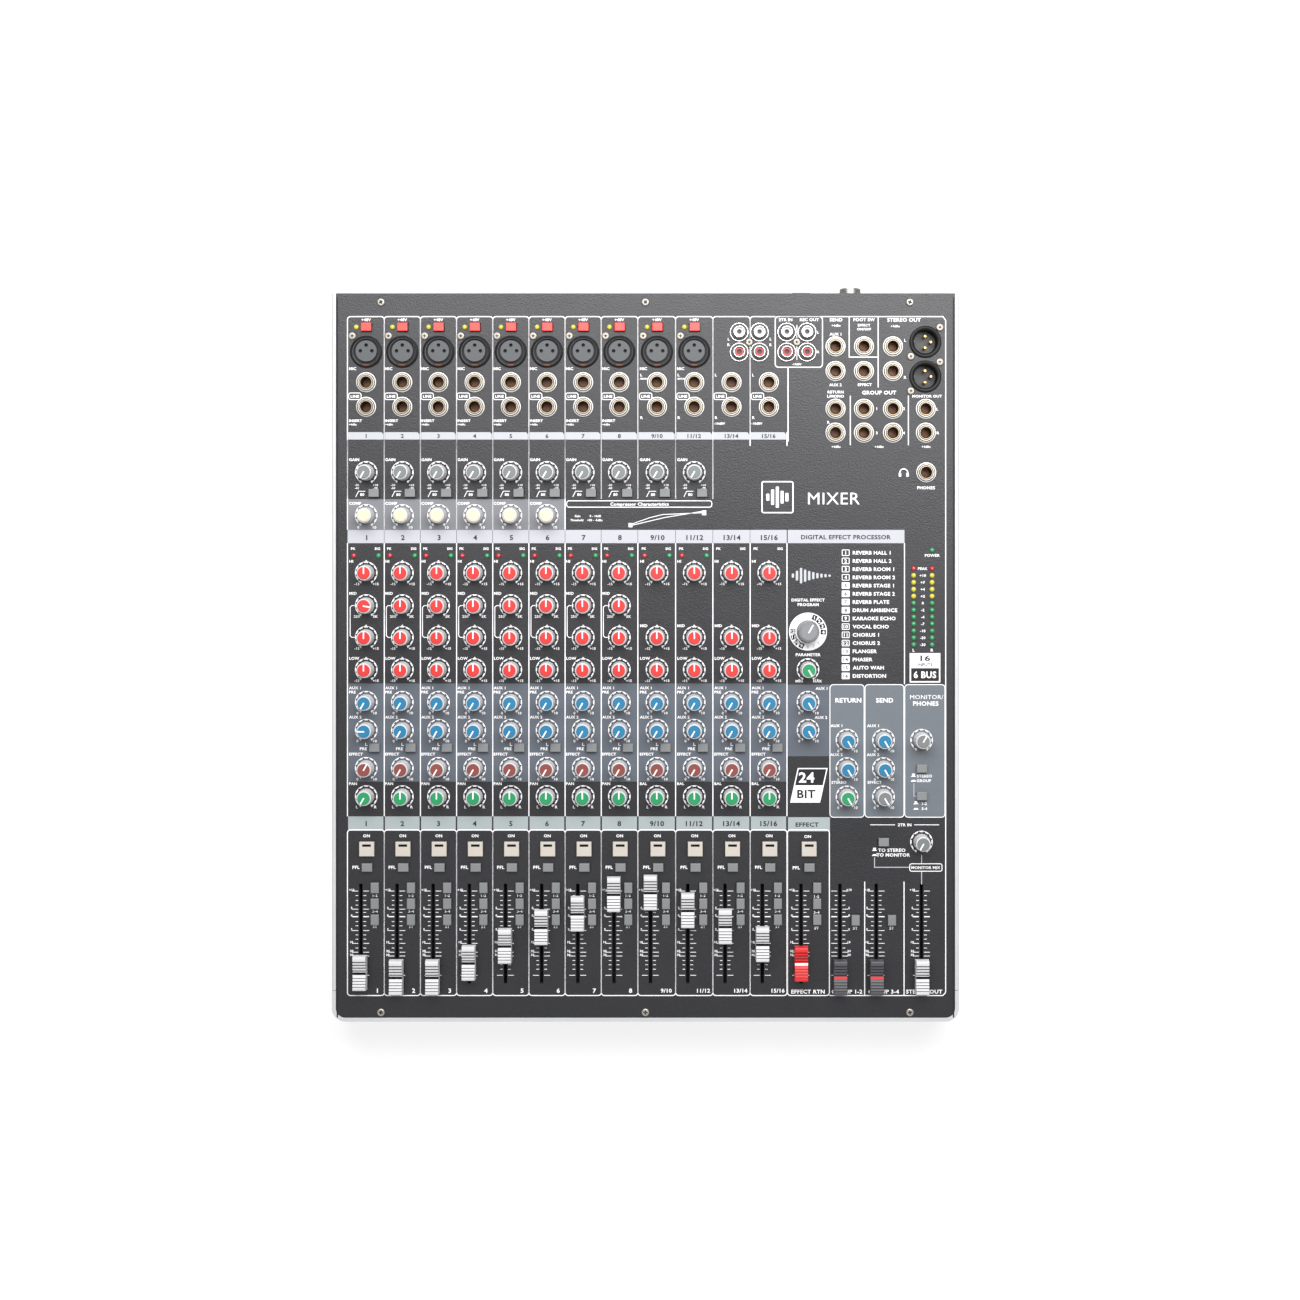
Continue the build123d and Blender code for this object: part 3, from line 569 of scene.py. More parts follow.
class Ink:
    """Flat printing in one colour at one height over the panel."""

    def __init__(self, height, letter=1.9):
        self.height = height
        self.letter = letter
        self.points = []
        self.faces = []

    def area(self, outline):
        start = len(self.points)
        self.points += [(float(x), float(v), self.height) for x, v in outline]
        self.faces.append(tuple(range(start, start + len(outline))))

    def bar(self, x0, v0, x1, v1):
        left, right, low, high = min(x0, x1), max(x0, x1), min(v0, v1), max(v0, v1)
        self.area([(left, low), (right, low), (right, high), (left, high)])

    def line(self, points, width, closed=False):
        spots = np.array(points, float)
        count = len(spots)
        left, right = [], []
        for i in range(count):
            before = spots[i] - spots[i - 1] if i or closed else spots[1] - spots[0]
            last = i == count - 1 and not closed
            after = spots[-1] - spots[-2] if last else spots[(i + 1) % count] - spots[i]
            before = before / np.linalg.norm(before)
            after = after / np.linalg.norm(after)
            side = np.array((-(before + after)[1], (before + after)[0]))
            side = side / np.linalg.norm(side)
            reach = width / 2 / max(0.4, side @ (-before[1], before[0]))
            left.append(spots[i] + side * reach)
            right.append(spots[i] - side * reach)
        for i in range(count if closed else count - 1):
            j = (i + 1) % count
            self.area([right[i], right[j], left[j], left[i]])

    def rules(self, width, *uprights):
        """Lines straight up the panel, each given as x and its two ends."""
        for x, start, end in uprights:
            self.line([(x, start), (x, end)], width)

    def box(self, x0, v0, x1, v1, radius, width):
        self.line(rounded(x0, v0, x1, v1, radius), width, closed=True)

    def patch(self, x0, v0, x1, v1, radius):
        self.area(rounded(x0, v0, x1, v1, radius))

    def arc(self, x, v, inner, outer, start, end, steps=40):
        """A band between two clockwise angles in degrees from straight up."""
        for step in range(steps):
            a = math.radians(start + (end - start) * step / steps)
            b = math.radians(start + (end - start) * (step + 1) / steps)
            self.area([(x + inner * math.sin(a), v + inner * math.cos(a)),
                       (x + inner * math.sin(b), v + inner * math.cos(b)),
                       (x + outer * math.sin(b), v + outer * math.cos(b)),
                       (x + outer * math.sin(a), v + outer * math.cos(a))][::-1])

    def words(self, text, x, v, height=None, align="middle", stretch=1.1):
        """Letters with their middle height at v."""
        height = height or self.letter
        light = "M" in text and height > LARGE_LETTER
        points, faces, width = lettering(text, LARGE_M_WEIGHT if light else LETTER_WEIGHT)
        left = {"left": 0.0, "middle": 0.5, "right": 1.0}[align] * width * stretch
        start = len(self.points)
        self.points += [(x + (p[0] * stretch - left) * height, v + (p[1] - 0.5) * height, self.height)
                        for p in points]
        self.faces += [tuple(index + start for index in face) for face in faces]

    def labels(self, rows, x=0.0, v=0.0, align="middle"):
        """Words from rows of text, x, v and perhaps a height, all shifted alike."""
        for text, across, up, *height in rows:
            self.words(text, x + across, v + up, *height, align=align)

    def mesh(self, name, material):
        made = bpy.data.meshes.new(name)
        made.from_pydata(self.points, [], self.faces)
        made.materials.append(material)
        return made


# Height of each ink over the panel, so that one lies clear of another.
INK_HEIGHTS = {"bands": 0.02, "comp": 0.02, "boxes": 0.02, "front_strips": 0.035, "strips": 0.035,
               "grey": 0.05, "white": 0.05, "grey_numbers": 0.065, "dark": 0.065, "over": 0.08}


class Printing:
    """All the printing on the panel, gathered by colour."""

    def __init__(self, sizes):
        for name, height in INK_HEIGHTS.items():
            setattr(self, name, Ink(height, sizes.letter_height * 1000))
        self.line = sizes.line_width * 1000
        self.all = channel_centres()
        single, paired = self.all[:SINGLE], self.all[SINGLE:]
        half, step = (single[1] - single[0]) / 2, paired[1] - paired[0]
        # Lines between the channel columns, the first and last closing the row.
        self.edges = [FRAME_LEFT] + [x - half for x in single[1:]] + [(single[-1] + paired[0]) / 2 - 0.2]
        self.edges += [x - step / 2 for x in paired[1:]] + [paired[-1] + step / 2 - 0.3]


def channel_centres():
    """The x of the twelve channel columns, from their pan knobs."""
    first = joint_place("knob_pan_ch1_turn")
    row = [x for x, v in centres("knobs_green") if abs(v - first.y) < 2 and x < 110]
    return [first.x] + sorted(row)


# How many channels from the left have a compressor, one channel each, and a microphone socket.
COMPRESSED, SINGLE, WITH_MICROPHONE = 6, 8, 10
FRAME_LEFT, FRAME_RIGHT = -211.9, 213.5
FRAME_FOOT, FRAME_TOP, FRAME_ROUND = -240.4, 242.4, 2.2
UPPER_STRIP, LOWER_STRIP, FRONT_STRIP = (155.0, 160.2), (81.3, 90.7), (-123.2, -113.0)
# Width of the finest printed lines.
FINE, THIN = 0.5, 0.55


CHANNEL_NAMES = ["1", "2", "3", "4", "5", "6", "7", "8", "9/10", "11/12", "13/14", "15/16"]


NOUGHT_TO_TEN = ("0", -6.2, -7.7, 1.8), ("10", 6.4, -7.7, 1.8)


def print_frames(ink):
    """The frame lines round the channel columns, and a painted shade line along each side edge of the panel.
    """
    white, width, edges = ink.white, ink.line, ink.edges
    for i, x in enumerate(ink.all):
        left, right = edges[i], edges[i + 1]
        short = i >= WITH_MICROPHONE
        white.box(left, FRAME_FOOT, right, -122.6, FRAME_ROUND, width)
        low = UPPER_STRIP[1] if short else 113.2
        corners = rounded(left, low - 10, right, FRAME_TOP, FRAME_ROUND)
        last = x == ink.all[-1]
        end = [(92.3, FRAME_TOP)] if last else corners[5::-1] + [(right, low)]
        white.line([(left, low)] + corners[11:5:-1] + end, width)
        if short:
            white.rules(width, (right, UPPER_STRIP[1], 150.5))
        else:
            foot = 112.8 if i >= COMPRESSED else 90.8
            white.rules(width, (left, UPPER_STRIP[0], foot), (right, UPPER_STRIP[0], foot))
        white.rules(width, (left, LOWER_STRIP[0], -112.9))
    white.rules(width, (edges[-1], LOWER_STRIP[0], -112.9), (FRAME_RIGHT, 239.6, -238.2))
    # Painted shade: a dark line along each side edge of the panel stands for the shaded gap between the panel
    # and the rail.
    for side in (-1, 1):
        ink.dark.bar(side * 218.6, -256.0, side * 219.6, 256.0)


def print_strips(ink):
    """Pale strips with the channel numbers in dark."""
    foot, top = UPPER_STRIP
    for name, middle, left, right in zip(CHANNEL_NAMES, ink.all, ink.edges, ink.edges[1:]):
        left, right = left + 0.5, right - 0.6
        ink.strips.area([(left, foot), (right, foot), (right, 158.6), (right - 1.4, top), (left, top)])
        ink.strips.bar(left - 0.4, LOWER_STRIP[0], right + 0.4, LOWER_STRIP[1])
        ink.front_strips.bar(left, FRONT_STRIP[0], right, FRONT_STRIP[1])
        ink.dark.labels(((name, 0, 157.5, 2.8), (name, 0.4, 85.3, 3.5), (name, 0, -118.1, 3.5)), middle)
    ink.strips.bar(101.2, LOWER_STRIP[0], 184.2, LOWER_STRIP[1])
    ink.front_strips.bar(101.4, -123.6, 131.2, -113.6)
    ink.dark.words("DIGITAL EFFECT PROCESSOR", 142.6, 85.6, 3.0)
    ink.dark.words("EFFECT", 115.0, -118.8, 2.9, stretch=1.2)


def print_bands(ink):
    """The tinted bands behind the aux and the compressor knobs."""
    edges = ink.edges
    ink.bands.bar(edges[0], -88.3, edges[-1], -18.5)
    ink.bands.bar(edges[-1], -70.2, 130.9, -19.3)
    for left, right in ((130.8, 155.7), (155.7, 184.0), (184.0, 213.2)):
        ink.boxes.patch(left, -113.8, right - 0.3, -19.1, 2.6)
        ink.white.box(left + 0.4, -113.6, right - 0.2, -19.3, 2.4, THIN)
    ink.comp.bar(edges[0], 90.8, edges[COMPRESSED], 112.5)


def print_channel_tops(ink):
    """Labels round the sockets, gain and compressor."""
    white = ink.white
    for i, x in enumerate(ink.all):
        left = x - 12.2
        if i < WITH_MICROPHONE:
            white.words("+48V", x, 240.2)
            white.labels((("MIC", 0, 205.4), ("GAIN", 0, 140.7)), left, align="left")
            white.labels((("-50", -6.6, 122.6, 1.4), ("-60", -6.6, 120.5, 1.4),
                          ("+10", 6.6, 122.6, 1.4), ("-20", 6.6, 120.5, 1.4)), x)
            white.line([(x - 7.4, 114.2), (x - 5.4, 118.2), (x - 0.6, 118.2)], FINE)
            white.words("80", x - 2.8, 115.9, 1.9)
        if i < SINGLE:
            rows = [("INSERT", 0, 168.4, 1.8), ("+4dBu", 0, 165.7, 1.3)]
        else:
            rows = [("L", 0.4, 200.9), ("R", 0.4, 170.6)]
            rows += [("/MONO", 0, 198.2, 1.3)] if i < WITH_MICROPHONE else []
        white.labels(rows, left, align="left")
        if i >= WITH_MICROPHONE:
            white.words("-10dBV", x - 8.5, 166.4, 1.6)
        white.box(left - 0.2, 183.4, left + 8.6, 188.1, 1.4, THIN)
        white.words("LINE", left + 4.2, 185.7, 1.9)
        if i < COMPRESSED:
            white.words("COMP", left, 109.6, align="left")
            white.labels((("0", -5.6, 92.6, 1.9), ("10", 6.0, 92.6, 1.9)), x)
    white.box(-56.0, 106.9, 47.2, 111.4, 1.6, 0.6)
    white.words("Compressor Characteristics", -4.2, 109.1, 2.2)
    white.words("Gain          0 - +6dB", -41.0, 100.6, 1.5, stretch=1.0)
    white.words("Threshold    +20 - -5dBu", -42.0, 97.7, 1.5, stretch=1.0)
    white.line([(-10.5, 94.6), (3.0, 99.4), (12.0, 101.6), (41.0, 103.0)], FINE)
    white.line([(-10.5, 93.8), (14.0, 99.6), (41.0, 104.0)], FINE)
    white.patch(-12.0, 92.6, -9.2, 95.6, 0.3)
    white.patch(40.2, 101.2, 43.2, 104.6, 0.3)


def print_channel_tones(ink):
    """Labels of the tone, aux and pan rows."""
    white = ink.white
    rows = {name: joint_place(f"knob_{name}_ch1_turn").y
            for name in ("high", "mid_freq", "mid", "low", "aux1", "aux2", "effect", "pan")}
    for i, x in enumerate(ink.all):
        single = i < SINGLE
        white.labels((("PK", -9.2, 77.4, 1.7), ("SIG", 8.0, 77.4, 1.7)), x)
        white.labels((("HI", 0, 68.4), ("MID", 0, 45.6 if single else 22.6), ("LOW", 0, -0.6)),
                     x - 12.0, align="left")
        for name in ("high", "mid", "low"):
            white.labels((("-15", -6.6, -7.9, 1.7), ("+15", 6.8, -7.9, 1.7), ("0", 0, 8.0, 1.9)),
                         x, rows[name])
        if single:
            white.labels((("250", -6.6, -7.7, 1.8), ("5K", 6.6, -7.7, 1.8)), x, rows["mid_freq"])
            between = (rows["mid_freq"] + rows["mid"]) / 2
            for v, turn in ((rows["mid_freq"], -1.2), (rows["mid"], 1.2)):
                white.line([(x - 8.2, v), (x - 10.2, v), (x - 11.4, v + turn), (x - 11.4, between)], THIN)
        white.labels((("AUX 1", 0, -21.6), ("PRE", 0, -24.6), ("AUX 2", 0, -42.4), ("EFFECT", 0, -68.7),
                      ("PAN" if single else "BAL", 0, -89.7)), x - 12.2, align="left")
        for name in ("aux1", "aux2", "effect"):
            white.labels(NOUGHT_TO_TEN, x, rows[name])
        white.labels((("L", -6.6, -7.4, 1.9), ("R", 6.6, -7.4, 1.9)), x, rows["pan"])
        white.words("PRE", x - 2.0, -64.9, 2.0)
        white.line([(x - 0.4, -60.6), (x - 0.4, -62.6), (x + 1.2, -62.6)], FINE)


def print_channel_faders(ink):
    """Labels of the buttons and the numbers beside the faders."""
    for i, (x, name) in enumerate(zip(ink.all, CHANNEL_NAMES)):
        number = (8.0, -236.9, 3.0) if i < SINGLE else (6.6, -236.9, 2.7)
        ink.white.labels((("ON", 0.2, -126.8, 2.0), ("PFL", -7.2, -149.2, 2.2), ("1-2", 6.3, -169.2, 1.9),
                          ("3-4", 6.3, -180.4, 1.9), ("ST", 6.3, -191.4, 1.9), (name, *number)), x)


# Each mark's drop below the top of the scale, and 0 for a short, 1 for a long, 2 for a thick one.
FADER_MARKS = [(0.0, 1), (-3.2, 0), (-6.7, 0), (-10.0, 0), (-12.9, 1), (-15.2, 0), (-18.2, 2), (-21.7, 0),
               (-24.7, 0), (-28.1, 1), (-31.2, 0), (-34.2, 0), (-37.2, 1), (-40.5, 0), (-43.5, 1),
               (-46.2, 1), (-49.4, 0), (-52.4, 0), (-55.6, 0), (-59.9, 1)]
FADER_NUMBERS = [("+10", 0.0), ("5", -12.9), ("0", -18.2), ("5", -28.1), ("10", -37.2), ("20", -43.5),
                 ("30", -46.2)]


def fader_slots():
    """The x and middle v of each fader's travel with the fader's name."""
    slots = {}
    for joint in JOINTS.values():
        if joint["child"].startswith("fader_"):
            low, high = solids(joint["child"])[0]
            middle = (low + high) / 2
            # Half the sum of the range's ends, in millimetres.
            slots[joint["child"]] = middle[0], middle[1] + sum(joint["range_m"]) * 500
    return slots


def print_fader_scales(ink):
    """Level marks on both sides of each fader slot."""
    white = ink.white
    for name, (x, middle) in fader_slots().items():
        top = middle + 30.2
        for drop, kind in FADER_MARKS:
            half = (0.75 if kind == 2 else 0.42) / 2
            left, right = (6.1, 5.9) if kind else (3.7, 3.8)
            white.bar(x - left, top + drop - half, x - 1.9, top + drop + half)
            white.bar(x + 1.8, top + drop - half, x + right, top + drop + half)
        side = 6.5 if name == "fader_group_1_2" else -6.5
        white.labels([(label, side, drop + 0.9, 1.5) for label, drop in FADER_NUMBERS], x, top)


def print_master_top(ink):
    """Labels of the output sockets."""
    white, width = ink.white, ink.line
    white.line([(FRAME_RIGHT, 239.6), (211.6, FRAME_TOP), (95.0, FRAME_TOP)], width)
    white.box(92.3, 206.4, 125.9, FRAME_TOP, FRAME_ROUND, width)
    white.rules(width, (101.4, 206.2, 153.5))
    white.labels((
        ("2TR IN", 99.6, 240.2, 2.0), ("REC OUT", 116.6, 240.2, 2.0), ("SEND", 135.5, 240.2, 2.3),
        ("+4dBu", 135.5, 236.1, 1.5), ("AUX 1", 135.1, 229.9, 1.9), ("AUX 2", 135.1, 193.9, 1.9),
        ("FOOT SW", 155.5, 240.2, 2.1), ("EFFECT", 155.5, 236.3, 1.7), ("ON/OFF", 155.5, 233.5, 1.7),
        ("EFFECT", 156.0, 194.0, 1.9), ("STEREO OUT", 183.9, 240.1, 2.5), ("+4dBu", 177.6, 235.6, 1.5),
        ("L", 184.7, 225.6, 1.9), ("R", 184.7, 199.2, 1.9), ("RETURN", 135.2, 188.8, 1.9),
        ("L/MONO", 135.2, 185.8, 1.9), ("GROUP OUT", 166.2, 188.4, 2.6), ("MONITOR OUT", 200.3, 185.8, 1.85),
        ("R", 130.2, 167.3, 1.9), ("1", 164.5, 177.0, 1.9), ("2", 183.8, 177.0, 1.9),
        ("3", 164.5, 159.7, 1.9), ("4", 183.8, 159.7, 1.9), ("L", 207.6, 176.6, 1.9),
        ("R", 208.0, 159.7, 1.9), ("+4dBu", 135.5, 149.9, 1.5), ("+4dBu", 166.2, 149.9, 1.5),
        ("+4dBu", 199.6, 149.9, 1.5), ("PHONES", 199.6, 120.7, 2.1), ("L", 122.8, 231.2, 1.7),
        ("R", 122.8, 217.3, 1.7), ("-10dBV", 107.6, 208.6, 1.4), ("L", 59.2, 226.4, 1.8),
        ("R", 59.2, 222.4, 1.8), ("L", 89.0, 226.4, 1.8), ("R", 89.0, 222.4, 1.8)))
    white.rules(FINE, (107.7, 236.5, 211.5))
    white.line([(144.9, FRAME_TOP), (144.9, 213.6), (165.5, 213.6)], width)
    white.rules(width, (165.5, FRAME_TOP, 192.0), (145.7, 186.2, 151.0), (187.0, 186.2, 151.0))
    print_headphones(white, 183.7, 131.8)
    print_sound_mark(white, 93.9, 114.0)
    white.words("MIXER", 134.0, 113.2, 8.6, stretch=1.05)


def print_headphones(white, x, v):
    """A small headphone sign."""
    white.arc(x, v - 0.6, 2.5, 3.3, -100, 100, 16)
    white.patch(x - 3.6, v - 3.2, x - 1.8, v - 0.4, 0.5)
    white.patch(x + 1.8, v - 3.2, x + 3.6, v - 0.4, 0.5)


def print_sound_mark(white, x, v):
    """A plain framed sign of five level bars."""
    white.box(x - 11.0, v - 11.0, x + 11.0, v + 11.0, 1.2, 0.9)
    for step, height in enumerate((5.0, 11.0, 15.0, 9.0, 6.0)):
        left = x - 8.0 + step * 3.4
        white.patch(left, v - height / 2, left + 2.2, v + height / 2, 0.6)


EFFECT_NAMES = ["REVERB HALL 1", "REVERB HALL 2", "REVERB ROOM 1", "REVERB ROOM 2", "REVERB STAGE 1",
                "REVERB STAGE 2", "REVERB PLATE", "DRUM AMBIENCE", "KARAOKE ECHO", "VOCAL ECHO", "CHORUS 1",
                "CHORUS 2", "FLANGER", "PHASER", "AUTO WAH", "DISTORTION"]


# The level meter's lamps are right of and below these.
METER_LEFT, METER_TOP = 185, 70


def print_effects(ink):
    """The effects list, the program ring and the meter labels."""
    white, dark = ink.white, ink.dark
    white.rules(ink.line, (184.2, LOWER_STRIP[0], -19.0))
    for row, name in enumerate(EFFECT_NAMES):
        v = 74.5 - 5.84 * row
        filled = row % 8 >= 4
        if filled:
            white.patch(139.6, v - 2.3, 145.2, v + 2.3, 0.5)
        else:
            white.box(139.9, v - 2.0, 144.9, v + 2.0, 0.4, FINE)
        (dark if filled else white).words(str(row + 1), 142.4, v, 2.4)
        white.words(name, 147.4, v, 2.5, "left")
    white.labels((("DIGITAL EFFECT", 0, 40.9, 2.0), ("PROGRAM", 0, 37.6, 2.0)), 115.7)
    middle = joint_place("knob_program_turn")
    white.arc(middle.x, middle.y, 8.1, 13.5, -180, 180, 64)
    for first, start in ((1, 25.0), (9, 205.0)):
        for step in range(4):
            program_number(ink, middle, first + step, start + 22.3 * step, True)
            program_number(ink, middle, first + step + 4, start + 22.3 * (step + 4), False)
    for step, tall in enumerate((3.0, 7.0, 11.0, 8.6, 6.6, 5.0, 3.8, 2.8, 2.2, 1.6)):
        left = 104.0 + step * 2.9
        ink.grey.patch(left, 58.2 - tall / 2, left + 1.7, 58.2 + tall / 2, 0.6)
    white.labels((("PARAMETER", 115.7, 2.0, 2.0), ("MIN", 109.2, -16.8, 1.8), ("MAX", 122.4, -16.8, 1.8),
                  ("POWER", 204.0, 72.6, 1.9)))
    lamps = [box for box in solids("indicator_lamps") if box[0][0] > METER_LEFT and box[1][1] < METER_TOP]
    rows = sorted({round(float(low[1] + high[1]) / 2, 2) for low, high in lamps}, reverse=True)
    levels = ("PEAK", "+10", "+7", "+4", "+2", "0", "-2", "-4", "-7", "-10", "-20", "-30")
    white.labels([(label, 197.2, v, 1.8) for v, label in zip(rows, levels)])
    white.labels((("L", 190.7, 5.2, 2.0), ("R", 203.8, 5.2, 2.0)))


def program_number(ink, middle, number, angle, boxed):
    """One number on the program ring, dark boxed or pale."""
    turn = math.radians(angle)
    x, v = middle.x + 10.9 * math.sin(turn), middle.y + 10.9 * math.cos(turn)
    if not boxed:
        ink.grey_numbers.words(str(number), x, v, 2.0)
        return
    across, along = Vector((math.cos(turn), -math.sin(turn))), Vector((math.sin(turn), math.cos(turn)))
    corners = ((-1, -1), (1, -1), (1, 1), (-1, 1))
    ink.dark.area([Vector((x, v)) + across * a * 1.7 + along * b * 1.9 for a, b in corners])
    ink.over.words(str(number), x, v, 2.3)


def leaning(low, high, left, right, foot=-103.2, lean=0.22):
    """The corners of an upright band that leans to the right above its foot."""
    return [(side + lean * (v - foot), v)
            for side, v in ((left, low), (right, low), (right, high), (left, high))]


def print_badges(ink):
    """Plain boxed notes of the input, bus and bit counts."""
    white, dark, over = ink.white, ink.dark, ink.over
    white.bar(187.9, -17.8, 209.7, 3.1)
    dark.bar(188.9, -16.8, 208.7, -7.6)
    dark.words("16", 199.0, -0.5, 3.9, stretch=1.5)
    dark.words("INPUTS", 198.8, -5.1, 2.0)
    over.words("6 BUS", 198.8, -12.2, 4.6, stretch=0.95)
    white.area(leaning(-103.2, -78.6, 102.9, 124.2))
    dark.area(leaning(-90.9, -79.4, 103.7, 123.4))
    over.words("24", 114.6, -85.2, 7.0)
    dark.words("BIT", 114.4, -97.0, 5.8)


# Outlines of the signs for a raised and a pressed button.
RAISED_BUTTON = (-2.0, -0.9), (2.0, -0.9), (1.0, -0.1), (1.0, 1.3), (-1.0, 1.3), (-1.0, -0.1)
PRESSED_BUTTON = (-2.0, -0.7), (2.0, -0.7), (1.0, 0.5), (-1.0, 0.5)


def in_master(x):
    """Whether a knob stands in the effect, return or send column."""
    return 103 < x < 190


def print_master_section(ink):
    """Labels of the effect, return, send and monitor columns."""
    white, width = ink.white, ink.line
    white.labels((
        ("AUX 1", 125.2, -22.0, 1.9), ("AUX 2", 124.8, -42.6, 1.9),
        ("RETURN", 144.3, -30.4, 3.1), ("SEND", 170.1, -30.4, 3.1), ("MONITOR/", 200.0, -28.1, 3.0),
        ("PHONES", 199.4, -32.7, 3.0), ("AUX 1", 135.8, -48.5, 1.9), ("AUX 2", 135.8, -69.1, 1.9),
        ("AUX 1", 161.8, -48.5, 1.9), ("AUX 2", 161.8, -69.1, 1.9), ("STEREO", 137.6, -88.8, 1.9),
        ("EFFECT", 163.0, -88.8, 1.9), ("2TR IN", 184.3, -119.0, 2.0), ("STEREO", 198.4, -84.3, 1.9),
        ("GROUP", 198.0, -87.6, 1.9), ("1-2", 198.4, -103.9, 1.9), ("3-4", 198.4, -107.5, 1.9),
        ("TO STEREO", 175.2, -137.0, 2.3), ("TO MONITOR", 176.2, -140.4, 2.3),
        ("MONITOR MIX", 199.4, -149.4, 1.9), ("ON", 115.3, -127.3, 2.0), ("PFL", 107.3, -149.5, 2.2),
        ("1-2", 121.7, -169.8, 1.9), ("3-4", 121.7, -181.2, 1.9), ("ST", 121.7, -192.4, 1.9),
        ("ST", 149.2, -192.5, 1.9), ("ST", 175.1, -192.5, 1.9), ("EFFECT RTN", 115.6, -237.6, 2.7),
        ("GROUP 1-2", 143.3, -237.6, 2.7), ("GROUP 3-4", 169.4, -237.6, 2.7),
        ("STEREO OUT", 198.2, -237.6, 2.7)))
    for x, v in centres("knobs_blue", "knobs_green", "knobs_grey"):
        if in_master(x) and v < 0:
            white.labels(NOUGHT_TO_TEN, x, v)
    for left, right in ((159.7, 177.5), (191.1, 208.9)):
        white.line([(left, -119.0), (right, -119.0)], FINE)
    ink.grey.line([(162.9, -142.2), (162.9, -149.2), (187.6, -149.2)], 0.6)
    white.box(187.9, -152.0, 210.9, -146.7, 1.4, 0.6)
    ink.grey.rules(0.6, (196.4, -140.4, -146.4), (196.4, -152.4, -161.4))
    ink.grey.line([(192.6, -98.6), (190.9, -98.6), (190.9, -89.6)], FINE)
    for x, v in ((162.9, -136.6), (190.6, -83.9), (192.4, -103.5)):
        white.area([(x + a, v + b) for a, b in RAISED_BUTTON])
    for x, v in ((162.9, -140.4), (190.6, -87.6), (192.4, -107.5)):
        white.area([(x + a, v + b) for a, b in PRESSED_BUTTON])
    white.box(101.0, FRAME_FOOT, 130.8, -122.6, FRAME_ROUND, width)
    white.rules(width, (155.9, -159.4, -240.0), (183.9, -159.4, -240.0))
    white.line([(130.8, FRAME_FOOT), (211.4, FRAME_FOOT), (FRAME_RIGHT, -238.2)], width)


# The fixed knobs' nodes, and how far each kind is turned clockwise from straight up.
FIXED_KNOBS = {"knobs_red": 0, "knobs_blue": -150, "knobs_brown": -150, "knobs_green": 0,
               "knobs_cream": -150, "knobs_grey": -150}
MASTER_ANGLE = 150


def turning_knobs():
    """The joint and the node of every knob that turns."""
    return [(name, joint["child"]) for name, joint in JOINTS.items()
            if joint["type"] == "hinge" and joint["child"].startswith("knob_")]


def scale_places():
    """Every knob that has the common printed scale."""
    found = [place for node in FIXED_KNOBS for place in centres(node)]
    return found + [tuple(joint_place(name)[:2]) for name, node in turning_knobs() if node != "knob_program"]


def scale_shapes(sizes):
    """A knob's white ring with end ticks, and the dark marks in it."""
    outer = sizes.scale_radius * 1000
    inner = outer - sizes.scale_width * 1000
    half = math.degrees(sizes.line_angle)
    ring, marks = Ink(0.05), Ink(0.065)
    ring.arc(0, 0, inner, outer, -half, half, 30)
    for side in (-half, half):
        ring.arc(0, 0, inner - 0.2, outer + 0.4, side - 3, side + 3, 1)
    for step in range(10):
        middle = -half + half / 5 * (step + 0.5)
        marks.arc(0, 0, inner - 0.05, outer - 0.3, middle - 5.5, middle + 5.5, 1)
    return (ring.points, ring.faces), (marks.points, marks.faces)


# ---------------------------------------------------------------- operators


class CONSOLE_OT_case(bpy.types.Operator):
    """Paint the case, rails, trims, feet and screws, with painted shade in the screw heads' cross recesses"""

    bl_idname = "console.case"
    bl_label = "Case and panel"

    def execute(self, context):
        colours = context.scene.console_colours
        dress("top_panel", "panel satin paint", colours.panel, rough=0.36, mottle=0.06, grain=0.55,
              scale=1000.0, relief=0.9, specular=0.45)
        dress("base_pan rear_panel", "case satin paint", colours.case, rough=0.5, mottle=0.05,
              grain=0.12, scale=2200.0, relief=0.3, specular=0.4)
        dress("side_rail_left side_rail_right front_trim", "silver trim", colours.trim, rough=0.38,
              metal=0.2, mottle=0.03, grain=0.05, scale=1800.0, relief=0.12)
        dress("rubber_feet", "foot rubber", paint(28, 28, 28), rough=0.85, mottle=0.1, grain=0.1,
              relief=0.4)
        dress("panel_screws", "plated screw", paint(150, 146, 140), rough=0.4, metal=0.9, mottle=0.05,
              grain=0.05, relief=0.06)
        dress("socket_screws", "small plated screw", paint(138, 132, 124), rough=0.4, metal=0.85,
              mottle=0.08, grain=0.05, relief=0.06)
        # Painted shade: a flat dark cross on each screw head stands for its shaded cross recess.
        recess_shade = finish("screw recess", paint(40, 36, 34), rough=0.6)
        for node, reach in (("panel_screws", 1.5), ("socket_screws", 0.9)):
            top = depth(node)[1]
            half = reach * 0.34
            cross = merged(block(-reach, -half, top - 0.3, reach, half, top + 0.02),
                           block(-half, -reach, top - 0.3, half, reach, top + 0.02))
            spots = [(x, v, 20 + 37 * step) for step, (x, v) in enumerate(centres(node))]
            piece(f"{node}_recesses", [scattered(spots, cross, recess_shade)])
        return {"FINISHED"}


class CONSOLE_OT_inner_parts(bpy.types.Operator):
    """Finish the board, pots, switches and fader bodies under the panel"""

    bl_idname = "console.inner_parts"
    bl_label = "Inner parts"

    def execute(self, context):
        dress("main_board", "board green", paint(24, 78, 44), rough=0.4, mottle=0.08, grain=0.08)
        dress("rotary_pots", "pressed steel", paint(120, 120, 124), rough=0.4, metal=0.8, mottle=0.05,
              grain=0.06)
        dress("switch_bodies", "dark switch", paint(30, 30, 32), rough=0.6, mottle=0.06)
        # Painted shade: the steel fader bodies seen through the slots are coloured near black.
        dress("fader_bodies", "dark fader frame", paint(16, 16, 18), rough=0.7, mottle=0.06)
        return {"FINISHED"}


